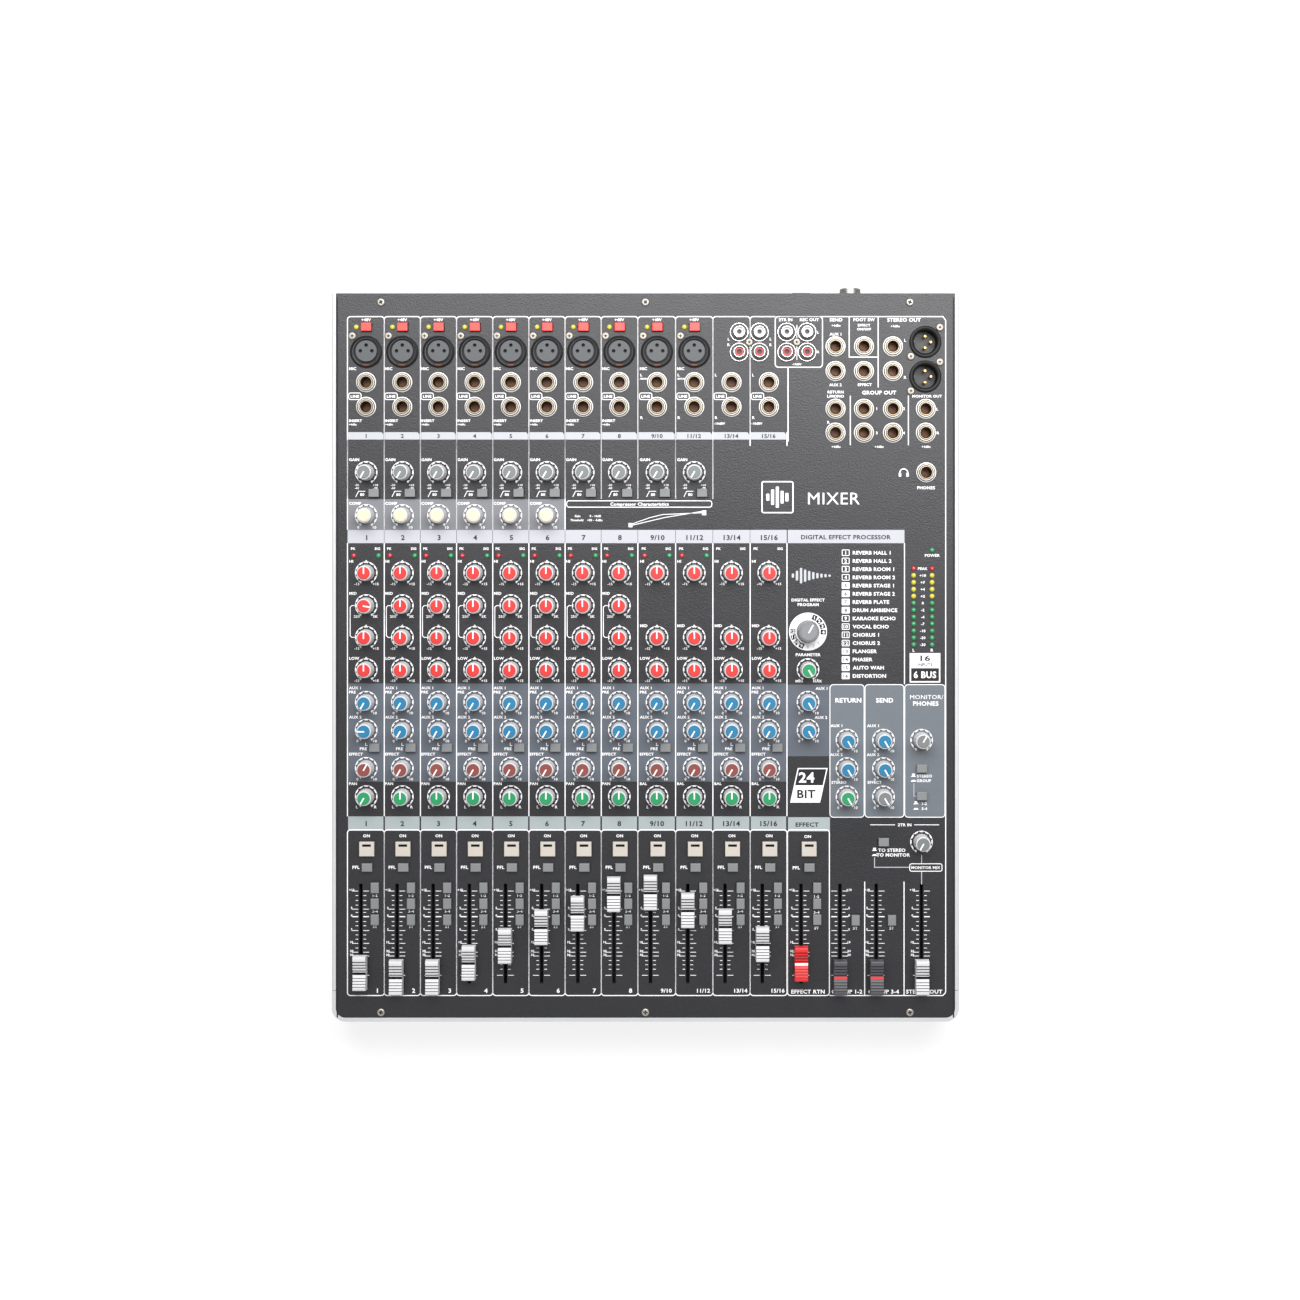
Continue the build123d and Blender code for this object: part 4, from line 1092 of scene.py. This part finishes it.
class CONSOLE_OT_printing(bpy.types.Operator):
    """Print the lines, strips, bands, scales and labels on the panel"""

    bl_idname = "console.printing"
    bl_label = "Panel printing"

    def execute(self, context):
        colours, sizes = context.scene.console_colours, context.scene.console_sizes
        ink = Printing(sizes)
        for step in (print_frames, print_strips, print_bands, print_channel_tops, print_channel_tones,
                     print_channel_faders, print_fader_scales, print_master_top, print_effects,
                     print_badges, print_master_section):
            step(ink)
        flat = {"rough": 0.5, "mottle": 0.03, "grain": 0.03, "relief": 0.05}
        tinted = {"rough": 0.45, "mottle": 0.03, "grain": 0.08, "relief": 0.2}
        white = finish("white ink", colours.ink, **flat)
        grey = finish("grey ink", paint(176, 178, 182), **flat)
        dark = finish("dark ink", paint(22, 22, 25), rough=0.55, mottle=0.05, grain=0.05, relief=0.05,
                      specular=0.25)
        strip = finish("strip ink", colours.strip, rough=0.5, mottle=0.02, grain=0.02, relief=0.05)
        front = finish("front strip ink", colours.strip_front, rough=0.5, mottle=0.02, grain=0.03,
                       relief=0.05)
        band = finish("aux band ink", colours.aux_band, **tinted)
        comp = finish("comp band ink", colours.comp_band, **tinted)
        boxes = finish("master box ink", colours.box_band, **tinted)
        ring, marks = scale_shapes(sizes)
        places = scale_places()
        rings = scattered(places, plain_open("ring", ring), white)
        dots = scattered(places, plain_open("marks", marks), dark)
        piece("printed_bands", [ink.bands.mesh("bands", band), ink.comp.mesh("comp", comp),
                                ink.boxes.mesh("boxes", boxes)])
        piece("printed_strips", [ink.strips.mesh("strips", strip), ink.front_strips.mesh("front", front)])
        piece("printed_lines", [ink.white.mesh("white", white), ink.grey.mesh("grey", grey), rings,
                                ink.grey_numbers.mesh("numbers", grey), ink.over.mesh("over", white)])
        piece("printed_dark_marks", [ink.dark.mesh("dark", dark), dots])
        return {"FINISHED"}


def plain_open(name, shape):
    """A flat mesh that keeps its faces as they are."""
    mesh = bpy.data.meshes.new(name)
    mesh.from_pydata(shape[0], [], shape[1])
    return mesh


# Radius of the common knobs, which others are scaled from, and of the program knob.
KNOB_RADIUS, PROGRAM_RADIUS = 6.0, 8.0


def knob_shapes(radius, sizes, low, high):
    """A knob's ribbed body, skirt, cap and pointer as meshes and shapes."""
    share = radius / KNOB_RADIUS
    top = high - 1.1
    body = evaluated(hosted(
        "body", bpy.data.meshes.new("empty"), ribbed_tree(), foot_radius=radius,
        top_radius=radius * 0.885, height=top - low, ribs=int(sizes.ribs * share),
        rib_depth=sizes.rib_depth * 1000, finish=None))
    body.transform(Matrix.Translation((0, 0, low)))
    cap_radius = 4.4 * share
    skirt = turned([(0, top - 0.6), (radius * 0.86, top - 0.6), (radius * 0.86, top),
                    (radius * 0.8, top + 0.35), (0, top + 0.35)], 36)
    cap = turned([(0, top), (cap_radius, top), (cap_radius, high - 0.35), (cap_radius - 0.3, high - 0.08),
                  (0, high - 0.08)], 36)
    wide = sizes.pointer_width * 500
    pointer = block(-wide, -0.5, high - 0.5, wide, cap_radius + 0.25, high, 0.08)
    return body, skirt, cap, pointer


class CONSOLE_OT_knobs(bpy.types.Operator):
    """Make the ribbed knobs with coloured caps and white pointers"""

    bl_idname = "console.knobs"
    bl_label = "Knobs"

    def execute(self, context):
        colours, sizes = context.scene.console_colours, context.scene.console_sizes
        grey = finish("knob body grey", colours.knob_body, rough=0.5, mottle=0.04, grain=0.04, relief=0.1)
        white = finish("pointer white", paint(244, 244, 244), rough=0.45, mottle=0.02, grain=0.02)
        steel = finish("shaft steel", paint(150, 150, 152), rough=0.35, metal=0.9)
        silver = finish("silver knob", paint(120, 121, 124), rough=0.42, metal=0.3, relief=0.1)
        caps = {kind: finish(f"{kind} cap", getattr(colours, f"cap_{kind}"), rough=0.42, mottle=0.05,
                             grain=0.04, relief=0.1)
                for kind in ("red", "blue", "brown", "green", "cream", "grey")}
        # Cap colour of each turning knob; the program and monitor knobs are grey.
        rows = {"gain": "grey", "comp": "cream", "high": "red", "mid_freq": "red", "mid": "red", "low": "red",
                "aux1": "blue", "aux2": "blue", "effect": "brown", "pan": "green"}
        low, high = (corner[2] for corner in solids("knobs_red")[0])
        common = knob_shapes(KNOB_RADIUS, sizes, low, high)
        for node, angle in FIXED_KNOBS.items():
            places = [(x, v, MASTER_ANGLE if in_master(x) else angle) for x, v in centres(node)]
            finishes = grey, caps[node[6:]], white
            piece(f"{node}_looks", self.meshes(places, common, finishes), "console", [node])
        shaft = rod(3.0, -14.0, 1.0, 20)
        for name, node in turning_knobs():
            spot = joint_place(name)
            kind = rows.get(node[5:].replace("_ch1", ""), "grey")
            shapes, finishes = common, (grey, caps[kind], white)
            if node == "knob_program":
                ends = solids(node)
                shapes = knob_shapes(PROGRAM_RADIUS, sizes, max(box[0][2] for box in ends),
                                     max(box[1][2] for box in ends))
                finishes = silver, silver, white
            steel_shaft = scattered([(spot.x, spot.y)], shaft, steel)
            meshes = self.meshes([(spot.x, spot.y, rest_angle(name))], shapes, finishes)
            piece(f"{node}_looks", meshes + [steel_shaft], node, [node])
        return {"FINISHED"}

    def meshes(self, places, shapes, finishes):
        """Bodies, skirts, caps and pointers of knobs; cream ones have no pointer."""
        body, skirt, cap, pointer = shapes
        shade, top, line = finishes
        made = [scattered(places, body.copy(), shade), scattered(places, skirt, shade),
                scattered(places, cap, top)]
        return made if top.name.startswith("cream") else made + [scattered(places, pointer, line)]


# Where the grooves cross a fader cap; the front four are finer than the rear four.
GROOVES = (-9.3, -7.3, -5.3, -3.3, 1.9, 4.0, 6.1, 8.2)
# How much narrower each side of a cap is at its top than at its foot.
CAP_DRAFT = 0.4


def cap_side(half_width, w, low, high):
    """Half the width of a fader cap at a height."""
    return half_width - CAP_DRAFT * (w - low) / (high - low)


def fader_cap(half_width, half_length, low, high):
    """A saddle-shaped cap with flat ends, the height of its valley, and its grooves' floors."""
    valley = high - 2.4

    def slope(v):
        share = min(1.0, max(0.0, (abs(v) - 0.7) / (half_length - 2.4)))
        return valley + (high - valley) * share ** 0.8

    floors = []
    sides = {-1: [], 1: []}
    for middle in GROOVES:
        front = middle < 0
        half, drop = (0.3, 0.45) if front else (0.4, 0.8)
        lip, floor = half + 0.05, slope(middle) - drop
        floors.append((middle, floor))
        sides[-1 if front else 1] += [
            (middle - lip, slope(middle - lip)), (middle - half, floor),
            (middle + half, floor), (middle + lip, slope(middle + lip))]
    edge = [(half_length, low), (half_length, high - 1.2), (half_length - 0.5, high - 0.3),
            (half_length - 1.4, high)]
    outline = [(-v, w) for v, w in edge] + sides[-1] + [(-0.7, valley), (0.7, valley)] + sides[1] + edge[::-1]
    count = len(outline)
    points = [(side * cap_side(half_width, w, low, high), v, w) for side in (-1, 1) for v, w in outline]
    faces = [(i, (i + 1) % count, count + (i + 1) % count, count + i) for i in range(count)]
    faces += [tuple(range(count)), tuple(range(2 * count - 1, count - 1, -1))]
    return points, faces, valley, floors


# Height of a fader cap's foot over the panel.
CAP_FOOT = 2.0


class CONSOLE_OT_faders(bpy.types.Operator):
    """Make the ribbed fader caps with a line across the middle and painted shade in their grooves"""

    bl_idname = "console.faders"
    bl_label = "Faders"

    def execute(self, context):
        colours = context.scene.console_colours
        shades = {kind: finish(f"fader {kind}", getattr(colours, f"fader_{kind}"), rough=0.42, mottle=0.04,
                               grain=0.04, relief=0.08) for kind in ("white", "red", "dark")}
        # Painted shade for the fader caps' grooves: a darker colour in the rear grooves and a lighter one in
        # the front grooves, following how light from the rear falls on the cap.
        groove_shade_colours = {"white": ((58, 58, 62), (104, 104, 108)), "red": ((96, 12, 16), (150, 22, 26)),
                   "dark": ((22, 22, 25), (40, 40, 45))}
        rear_groove_shade = {kind: finish(f"deep groove {kind}", paint(*both[0]), rough=0.55)
                for kind, both in groove_shade_colours.items()}
        soft = {kind: finish(f"soft groove {kind}", paint(*both[1]), rough=0.5)
                for kind, both in groove_shade_colours.items()}
        black = finish("black line", paint(8, 8, 9), rough=0.6, specular=0.1)
        white = finish("white line", paint(238, 238, 238), rough=0.5)
        red = finish("red line", paint(214, 50, 50), rough=0.5)
        steel = finish("lever steel", paint(140, 140, 144), rough=0.35, metal=0.9)
        for name in fader_slots():
            kind = "red" if name == "fader_effect" else "dark" if "group" in name else "white"
            line = {"red": white, "dark": red, "white": black}[kind]
            boxes = solids(name)
            cap_low, cap_high = max(boxes, key=lambda box: box[1][0] - box[0][0])
            low, high = min(box[0][2] for box in boxes), cap_high[2]
            x, v = ((cap_low + cap_high) / 2)[:2]
            half_width, half_length = ((cap_high - cap_low) / 2)[:2]
            points, faces, valley, floors = fader_cap(half_width, half_length, CAP_FOOT, high)
            wide = cap_side(half_width, valley, CAP_FOOT, high) + 0.02
            stripe = block(-wide, -0.85, valley - 1.6, wide, 0.85, valley + 0.16)
            # Flat strips of painted shade laid on the groove floors.
            groove_shade_fills = {True: [], False: []}
            for middle, floor in floors:
                reach = cap_side(half_width, floor, CAP_FOOT, high)
                half = 0.28 if middle < 0 else 0.38
                groove_shade_fills[middle < 0].append(
                    block(-reach, middle - half, floor - 0.3, reach, middle + half, floor + 0.03))
            lever = block(-0.6, -4.5, low, 0.6, 4.5, CAP_FOOT + 1.0)
            layers = (("cap", (points, faces), shades[kind]), ("stripe", stripe, line),
                      ("front", merged(*groove_shade_fills[True]), soft[kind]),
                      ("rear", merged(*groove_shade_fills[False]), rear_groove_shade[kind]), ("lever", lever, steel))
            meshes = [plain_mesh(label, *moved(shape, x, v), material) for label, shape, material in layers]
            piece(f"{name}_looks", meshes, name, [name], smooth=30)
        return {"FINISHED"}


class CONSOLE_OT_buttons(bpy.types.Operator):
    """Finish the push buttons and fit the lamp windows of the channel buttons"""

    bl_idname = "console.buttons"
    bl_label = "Buttons"

    def execute(self, context):
        colours = context.scene.console_colours
        dress("buttons_phantom", "red button", colours.button_red, rough=0.32, mottle=0.05, grain=0.03)
        dress("buttons_small buttons_assign", "grey button", colours.button_grey, rough=0.5,
              mottle=0.05, grain=0.06)
        dress("buttons_on", "cream button", colours.button_cream, rough=0.42, mottle=0.04, grain=0.03)
        window = finish("dark window", paint(10, 9, 9), rough=0.6, mottle=0.1, specular=0.1)
        top = solids("buttons_on")[0][1][2]
        slot = block(-3.1, 1.8, top - 0.6, 3.1, 3.5, top + 0.03, 0.03)
        piece("on_button_windows", [scattered(centres("buttons_on"), slot, window)], "buttons_on")
        return {"FINISHED"}


def pierced(radius, holes, hole_radius, low, high):
    """A disc with round holes through it."""
    curve = bpy.data.curves.new("disc", "CURVE")
    curve.dimensions = "2D"
    curve.fill_mode = "BOTH"
    curve.extrude = (high - low) / 2
    for x, v, size in [(0.0, 0.0, radius)] + [(x, v, hole_radius) for x, v in holes]:
        steps = 40 if size == radius else 18
        spline = curve.splines.new("POLY")
        spline.points.add(steps - 1)
        spline.use_cyclic_u = True
        for step, point in enumerate(spline.points):
            angle = 2 * math.pi * step / steps
            point.co = (x + size * math.cos(angle), v + size * math.sin(angle), 0, 1)
    disc = bpy.data.objects.new("disc", curve)
    mesh = bpy.data.meshes.new_from_object(disc)
    bpy.data.objects.remove(disc)
    shape = bmesh.new()
    shape.from_mesh(mesh)
    bmesh.ops.remove_doubles(shape, verts=shape.verts, dist=1e-4)
    bmesh.ops.recalc_face_normals(shape, faces=shape.faces)
    shape.to_mesh(mesh)
    shape.free()
    mesh.transform(Matrix.Translation((0, 0, (low + high) / 2)))
    return mesh


# Profile of the rounded flange of a three-pole socket.
FLANGE = [(10.4, 0.0), (11.4, 0.0), (11.4, 0.9), (10.9, 1.45), (10.3, 1.6)]
# How far a three-pole socket's contacts stand from its middle.
CONTACT_REACH = 4.1


def fitting(name, node, slot, places, *layers):
    """A CAD node's stand-in with each layer's shape, in its finish, at every place."""
    piece(name, [scattered(places, shape, material) for shape, material in layers],
          stands_for=[node])


class CONSOLE_OT_microphone_sockets(bpy.types.Operator):
    """Make the three-pole microphone sockets"""

    bl_idname = "console.microphone_sockets"
    bl_label = "Microphone sockets"

    def execute(self, context):
        places = centres("mic_sockets", least=18)
        low = depth("mic_sockets")[0]
        shell = finish("socket shell", paint(9, 9, 10), rough=0.42, mottle=0.06, grain=0.05, specular=0.2)
        face = finish("socket face", paint(60, 63, 66), rough=0.45, mottle=0.06, grain=0.06)
        black = finish("socket well", paint(8, 8, 9), rough=0.6)
        latch = finish("latch bronze", paint(84, 46, 30), rough=0.35, metal=0.5)
        bright = finish("socket inner edge", paint(120, 122, 126), rough=0.25, metal=0.6)
        ring = turned([(9.7, low + 1.0), (10.4, low + 1.0), *FLANGE, (9.9, 1.4), (9.7, 0.8)], 48)
        floor = rod(9.7, low, -3.0, 32)
        trace = turned([(9.35, -0.5), (9.68, -0.5), (9.68, 0.5), (9.35, 0.2)], 48)
        holes = [(-CONTACT_REACH, 0.0), (0.0, CONTACT_REACH), (CONTACT_REACH, 0.0)]
        disc = pierced(7.5, holes, 1.3, -5.5, 0.4)
        disc.transform(Matrix.Translation((0, 0.6, 0)))
        tab = block(-3.0, -10.6, -1.0, 3.0, -8.5, 1.3, 0.4)
        fitting("mic_socket_looks", "mic_sockets", "socket_black", places,
                (ring, shell), (floor, black), (disc, face), (trace, bright), (tab, latch))
        return {"FINISHED"}


class CONSOLE_OT_stereo_outputs(bpy.types.Operator):
    """Make the three-pin output sockets"""

    bl_idname = "console.stereo_outputs"
    bl_label = "Stereo outputs"

    def execute(self, context):
        places = centres("xlr_outputs", least=15)
        low = depth("xlr_outputs")[0]
        shell = finish("output shell", paint(9, 9, 10), rough=0.42, mottle=0.06, grain=0.05, specular=0.2)
        cup = finish("output cup", paint(34, 36, 38), rough=0.42, mottle=0.08, grain=0.05)
        gold = finish("gilt pin", paint(224, 178, 104), rough=0.24, metal=0.95)
        ring = turned([(8.2, low + 1.0), (10.4, low + 1.0), *FLANGE, (9.4, 1.5), (8.6, 1.0), (8.2, 0.4)], 48)
        floor = rod(8.2, low, -11.4, 32)
        pin = turned([(0, -12.0), (1.2, -12.0), (1.2, -2.4), (0.8, -1.6), (0, -1.5)], 16)
        pins = merged(moved(pin, CONTACT_REACH, 0.0), moved(pin, 0.0, CONTACT_REACH),
                      moved(pin, 0.0, -CONTACT_REACH))
        key = block(-8.4, -1.0, -6.0, -7.2, 1.0, -0.2)
        fitting("stereo_output_looks", "xlr_outputs", "socket_black", places,
                (ring, shell), (floor, cup), (pins, gold), (key, cup))
        return {"FINISHED"}


class CONSOLE_OT_jacks(bpy.types.Operator):
    """Make the quarter-inch sockets with their bright nuts"""

    bl_idname = "console.jacks"
    bl_label = "Jack sockets"

    def execute(self, context):
        places = centres("jack_nuts")
        low, top = depth("phone_jacks")
        bright = finish("bright turned metal", paint(190, 188, 184), rough=0.36, metal=0.8, mottle=0.05,
                        grain=0.05)
        bushing = finish("bushing metal", paint(172, 158, 134), rough=0.34, metal=0.85, mottle=0.06,
                         grain=0.05)
        # Painted shade: dark rings in the nut's groove, in the gap between nut and bushing, and on the lip
        # down into the hole.
        bevel = finish("dark bevel", paint(44, 34, 27), rough=0.5, metal=0.2)
        well = finish("jack well", paint(104, 68, 46), rough=0.4, metal=0.3, mottle=0.25, scale=700.0)
        spring = finish("copper spring", paint(150, 92, 56), rough=0.35, metal=0.9)
        nut = turned([(5.05, 0.0), (7.2, 0.0), (7.2, 0.7), (6.95, 1.0), (6.5, 1.05), (6.45, 0.8), (5.85, 0.8),
                      (5.8, 1.8), (5.65, 2.0), (5.3, 2.0), (5.05, 1.8)], 40)
        nut_groove_shade = tube(5.84, 6.46, 0.5, 0.98, 40)
        gap_shade_collar = tube(4.72, 5.04, 0.0, 1.9, 32)
        body = turned([(3.9, low + 0.5), (4.7, low + 0.5), (4.7, top - 0.25), (4.5, top), (4.2, top),
                       (3.9, top - 0.35)], 32)
        lip = turned([(3.25, -3.0), (3.89, -3.0), (3.89, top - 0.4), (3.25, top - 1.7)], 32)
        floor = rod(3.5, low, -10.5, 24)
        contact = block(-0.4, -3.0, -9.5, 1.8, -2.2, -6.5, 0.3)
        fitting("jack_nut_looks", "jack_nuts", "jack_metal", places, (nut, bright), (nut_groove_shade, bevel))
        fitting("jack_looks", "phone_jacks", "jack_metal", places,
                (body, bushing), (gap_shade_collar, bevel), (lip, bevel), (floor, well), (contact, spring))
        return {"FINISHED"}


class CONSOLE_OT_phono_sockets(bpy.types.Operator):
    """Make the phono sockets with white and red cores"""

    bl_idname = "console.phono_sockets"
    bl_label = "Phono sockets"

    def execute(self, context):
        places = centres("phono_sockets", least=12)
        low = depth("phono_sockets")[0]
        silver = finish("phono silver", paint(222, 220, 218), rough=0.25, metal=0.85)
        black = finish("phono base", paint(40, 40, 42), rough=0.45)
        white = finish("white core", paint(188, 186, 184), rough=0.4)
        red = finish("red core", paint(152, 48, 54), rough=0.4)
        # Painted shade: the bottom of each core's hole is coloured dark grey.
        gloom = finish("core hole", paint(60, 56, 56), rough=0.5)
        rim = turned([(6.15, 0.0), (6.6, 0.0), (6.6, 1.6), (6.45, 1.8), (6.15, 1.8)], 40)
        base = tube(4.2, 6.14, 0.0, 1.1, 36)
        sleeve = turned([(3.45, low + 0.5), (4.15, low + 0.5), (4.15, 6.6), (3.9, 7.0), (3.6, 7.0),
                         (3.45, 6.7)], 36)
        core = turned([(1.6, low + 0.2), (3.4, low + 0.2), (3.4, 5.2), (3.1, 5.5), (1.8, 5.5),
                       (1.6, 5.3)], 28)
        pit = rod(1.58, low, 3.6, 20)
        middle = sum(v for x, v in places) / len(places)
        upper = [p for p in places if p[1] > middle]
        lower = [p for p in places if p[1] < middle]
        piece("phono_looks", [
            scattered(places, rim, silver), scattered(places, base, black), scattered(places, sleeve, silver),
            scattered(upper, core, white), scattered(lower, core, red), scattered(places, pit, gloom)],
            stands_for=["phono_sockets"])
        return {"FINISHED"}


LAMP_RADIUS = 1.85


class CONSOLE_OT_lamps(bpy.types.Operator):
    """Make the indicator lamps in their colours"""

    bl_idname = "console.lamps"
    bl_label = "Lamps"

    def execute(self, context):
        places = centres("indicator_lamps")
        low, high = depth("indicator_lamps")
        dome = [(LAMP_RADIUS * math.cos(a), 0.4 + (high - 0.4) * math.sin(a))
                for a in np.radians([0, 18, 36, 54, 72])]
        shape = turned([(0, low), (1.45, low), (1.45, 0.02), (LAMP_RADIUS, 0.02), *dome, (0, high)], 18)
        groups = {"yellow": [], "red": [], "green": []}
        meter = sorted({round(v, 1) for x, v in places if x > METER_LEFT and v < METER_TOP})
        channels = channel_centres()
        for x, v in places:
            if v > 200:
                kind = "yellow"
            elif x > METER_LEFT and v > METER_TOP:
                kind = "green"
            elif x > METER_LEFT:
                row = meter.index(round(v, 1))
                kind = "red" if row == 11 else "yellow" if row > 6 else "green"
            else:
                nearest = min(channels, key=lambda centre: abs(centre - x))
                kind = "red" if x < nearest else "green"
            groups[kind].append((x, v))
        finishes = {"yellow": lamp_finish("yellow lamp", paint(184, 176, 46), 0.05),
                    "red": lamp_finish("red lamp", paint(168, 18, 34), 0.0),
                    "green": lamp_finish("green lamp", paint(22, 128, 72), 0.0)}
        piece("lamp_looks", [scattered(spots, shape, finishes[kind]) for kind, spots in groups.items()],
              stands_for=["indicator_lamps"])
        return {"FINISHED"}


class CONSOLE_OT_rear_fittings(bpy.types.Operator):
    """Finish the supply inlet and the power rocker"""

    bl_idname = "console.rear_fittings"
    bl_label = "Rear fittings"

    def execute(self, context):
        dress("dc_inlet", "inlet plating", paint(128, 126, 124), rough=0.34, metal=0.9)
        dress("power_rocker_frame", "rocker frame", paint(26, 26, 28), rough=0.4)
        dress("power_rocker", "rocker", paint(20, 20, 22), rough=0.3, coat=0.3)
        return {"FINISHED"}


# Where the camera stands over the panel, in metres along the panel's axes.
CAMERA_PLACE = (0.027, 0.085, 1.7)


class CONSOLE_OT_stage(bpy.types.Operator):
    """Set the floor, the lights and the camera over the panel"""

    bl_idname = "console.stage"
    bl_label = "Floor, lights and camera"

    def execute(self, context):
        scene = context.scene
        self.floor(scene)
        self.world(scene)
        self.softbox(scene, "rear softbox", (100, 640, 1050), (-20, 60, 0), (1.6, 0.8), 33.0)
        self.softbox(scene, "front fill", (-500, -1300, 1100), (0, 0, 0), (1.4, 1.0), 2.0)
        lens = bpy.data.cameras.new("camera")
        lens.sensor_width = 36.0
        lens.lens = 66.2
        lens.shift_x = -0.0257
        lens.shift_y = -0.0862
        lens.clip_end = 20.0
        camera = bpy.data.objects.new("camera", lens)
        scene.collection.objects.link(camera)
        camera.matrix_world = PANEL @ Matrix.Translation(CAMERA_PLACE)
        scene.camera = camera
        scene.view_settings.view_transform = "Standard"
        return {"FINISHED"}

    def softbox(self, scene, name, place, aim, size, power):
        """A rectangular lamp at a panel place in millimetres, aimed at another."""
        lamp = bpy.data.lights.new(name, "AREA")
        lamp.shape = "RECTANGLE"
        lamp.size, lamp.size_y = size
        lamp.energy = power
        holder = bpy.data.objects.new(name, lamp)
        scene.collection.objects.link(holder)
        start, end = TO_WORLD @ Vector(place), TO_WORLD @ Vector(aim)
        holder.location = start
        holder.rotation_euler = (end - start).to_track_quat("-Z", "Y").to_euler()
        holder.visible_camera = False

    def floor(self, scene):
        """A pale floor that stays white to the camera and keeps the shadow."""
        mesh = bpy.data.meshes.new("floor")
        mesh.from_pydata([(-6, -6, 0), (6, -6, 0), (6, 6, 0), (-6, 6, 0)], [], [(0, 1, 2, 3)])
        material = bpy.data.materials.new("floor")
        graph = fresh_graph(material)
        seen = graph.seen()
        plain = graph.node("ShaderNodeBsdfDiffuse", {"Color": (*scene.console_colours.floor, 1)})
        glow = graph.node("ShaderNodeEmission", {"Color": (1, 1, 1, 1), "Strength": 1.1})
        both = graph.node("ShaderNodeMixShader", {0: 0.72, 1: plain, 2: glow})
        shown = graph.node("ShaderNodeMixShader", {0: seen, 1: plain, 2: both})
        graph.node("ShaderNodeOutputMaterial", {"Surface": shown})
        mesh.materials.append(material)
        ground = bpy.data.objects.new("floor", mesh)
        scene.collection.objects.link(ground)

    def world(self, scene):
        """A white surround to the eye and to gloss, and a softer one as light."""
        world = bpy.data.worlds.new("surround")
        graph = fresh_graph(world)
        seen = graph.seen()
        soft = graph.node("ShaderNodeBackground", {"Color": (1, 1, 1, 1), "Strength": 0.3})
        white = graph.node("ShaderNodeBackground", {"Color": (1, 1, 1, 1), "Strength": 1.0})
        both = graph.node("ShaderNodeMixShader", {0: seen, 1: soft, 2: white})
        graph.node("ShaderNodeOutputWorld", {"Surface": both})
        scene.world = world


STEPS = (CONSOLE_OT_case, CONSOLE_OT_inner_parts, CONSOLE_OT_printing, CONSOLE_OT_knobs, CONSOLE_OT_faders,
         CONSOLE_OT_buttons, CONSOLE_OT_microphone_sockets, CONSOLE_OT_stereo_outputs, CONSOLE_OT_jacks,
         CONSOLE_OT_phono_sockets, CONSOLE_OT_lamps, CONSOLE_OT_rear_fittings, CONSOLE_OT_stage)


class CONSOLE_PT_looks(bpy.types.Panel):
    """The console's settings and steps in the sidebar."""

    bl_label = "Mixing console"
    bl_space_type = "VIEW_3D"
    bl_region_type = "UI"
    bl_category = "Console"

    def draw(self, context):
        for group in (context.scene.console_colours, context.scene.console_sizes):
            column = self.layout.column()
            for name in group.__annotations__:
                column.prop(group, name)
        for step in STEPS:
            self.layout.operator(step.bl_idname)


CLASSES = (ConsoleColours, ConsoleSizes, *STEPS, CONSOLE_PT_looks)


def register():
    for kind in CLASSES:
        bpy.utils.register_class(kind)
    bpy.types.Scene.console_colours = PointerProperty(type=ConsoleColours)
    bpy.types.Scene.console_sizes = PointerProperty(type=ConsoleSizes)


def unregister():
    del bpy.types.Scene.console_sizes
    del bpy.types.Scene.console_colours
    for kind in reversed(CLASSES):
        bpy.utils.unregister_class(kind)


def main():
    register()
    for step in STEPS:
        group, name = step.bl_idname.split(".")
        getattr(getattr(bpy.ops, group), name)()


if __name__ == "__main__":
    main()
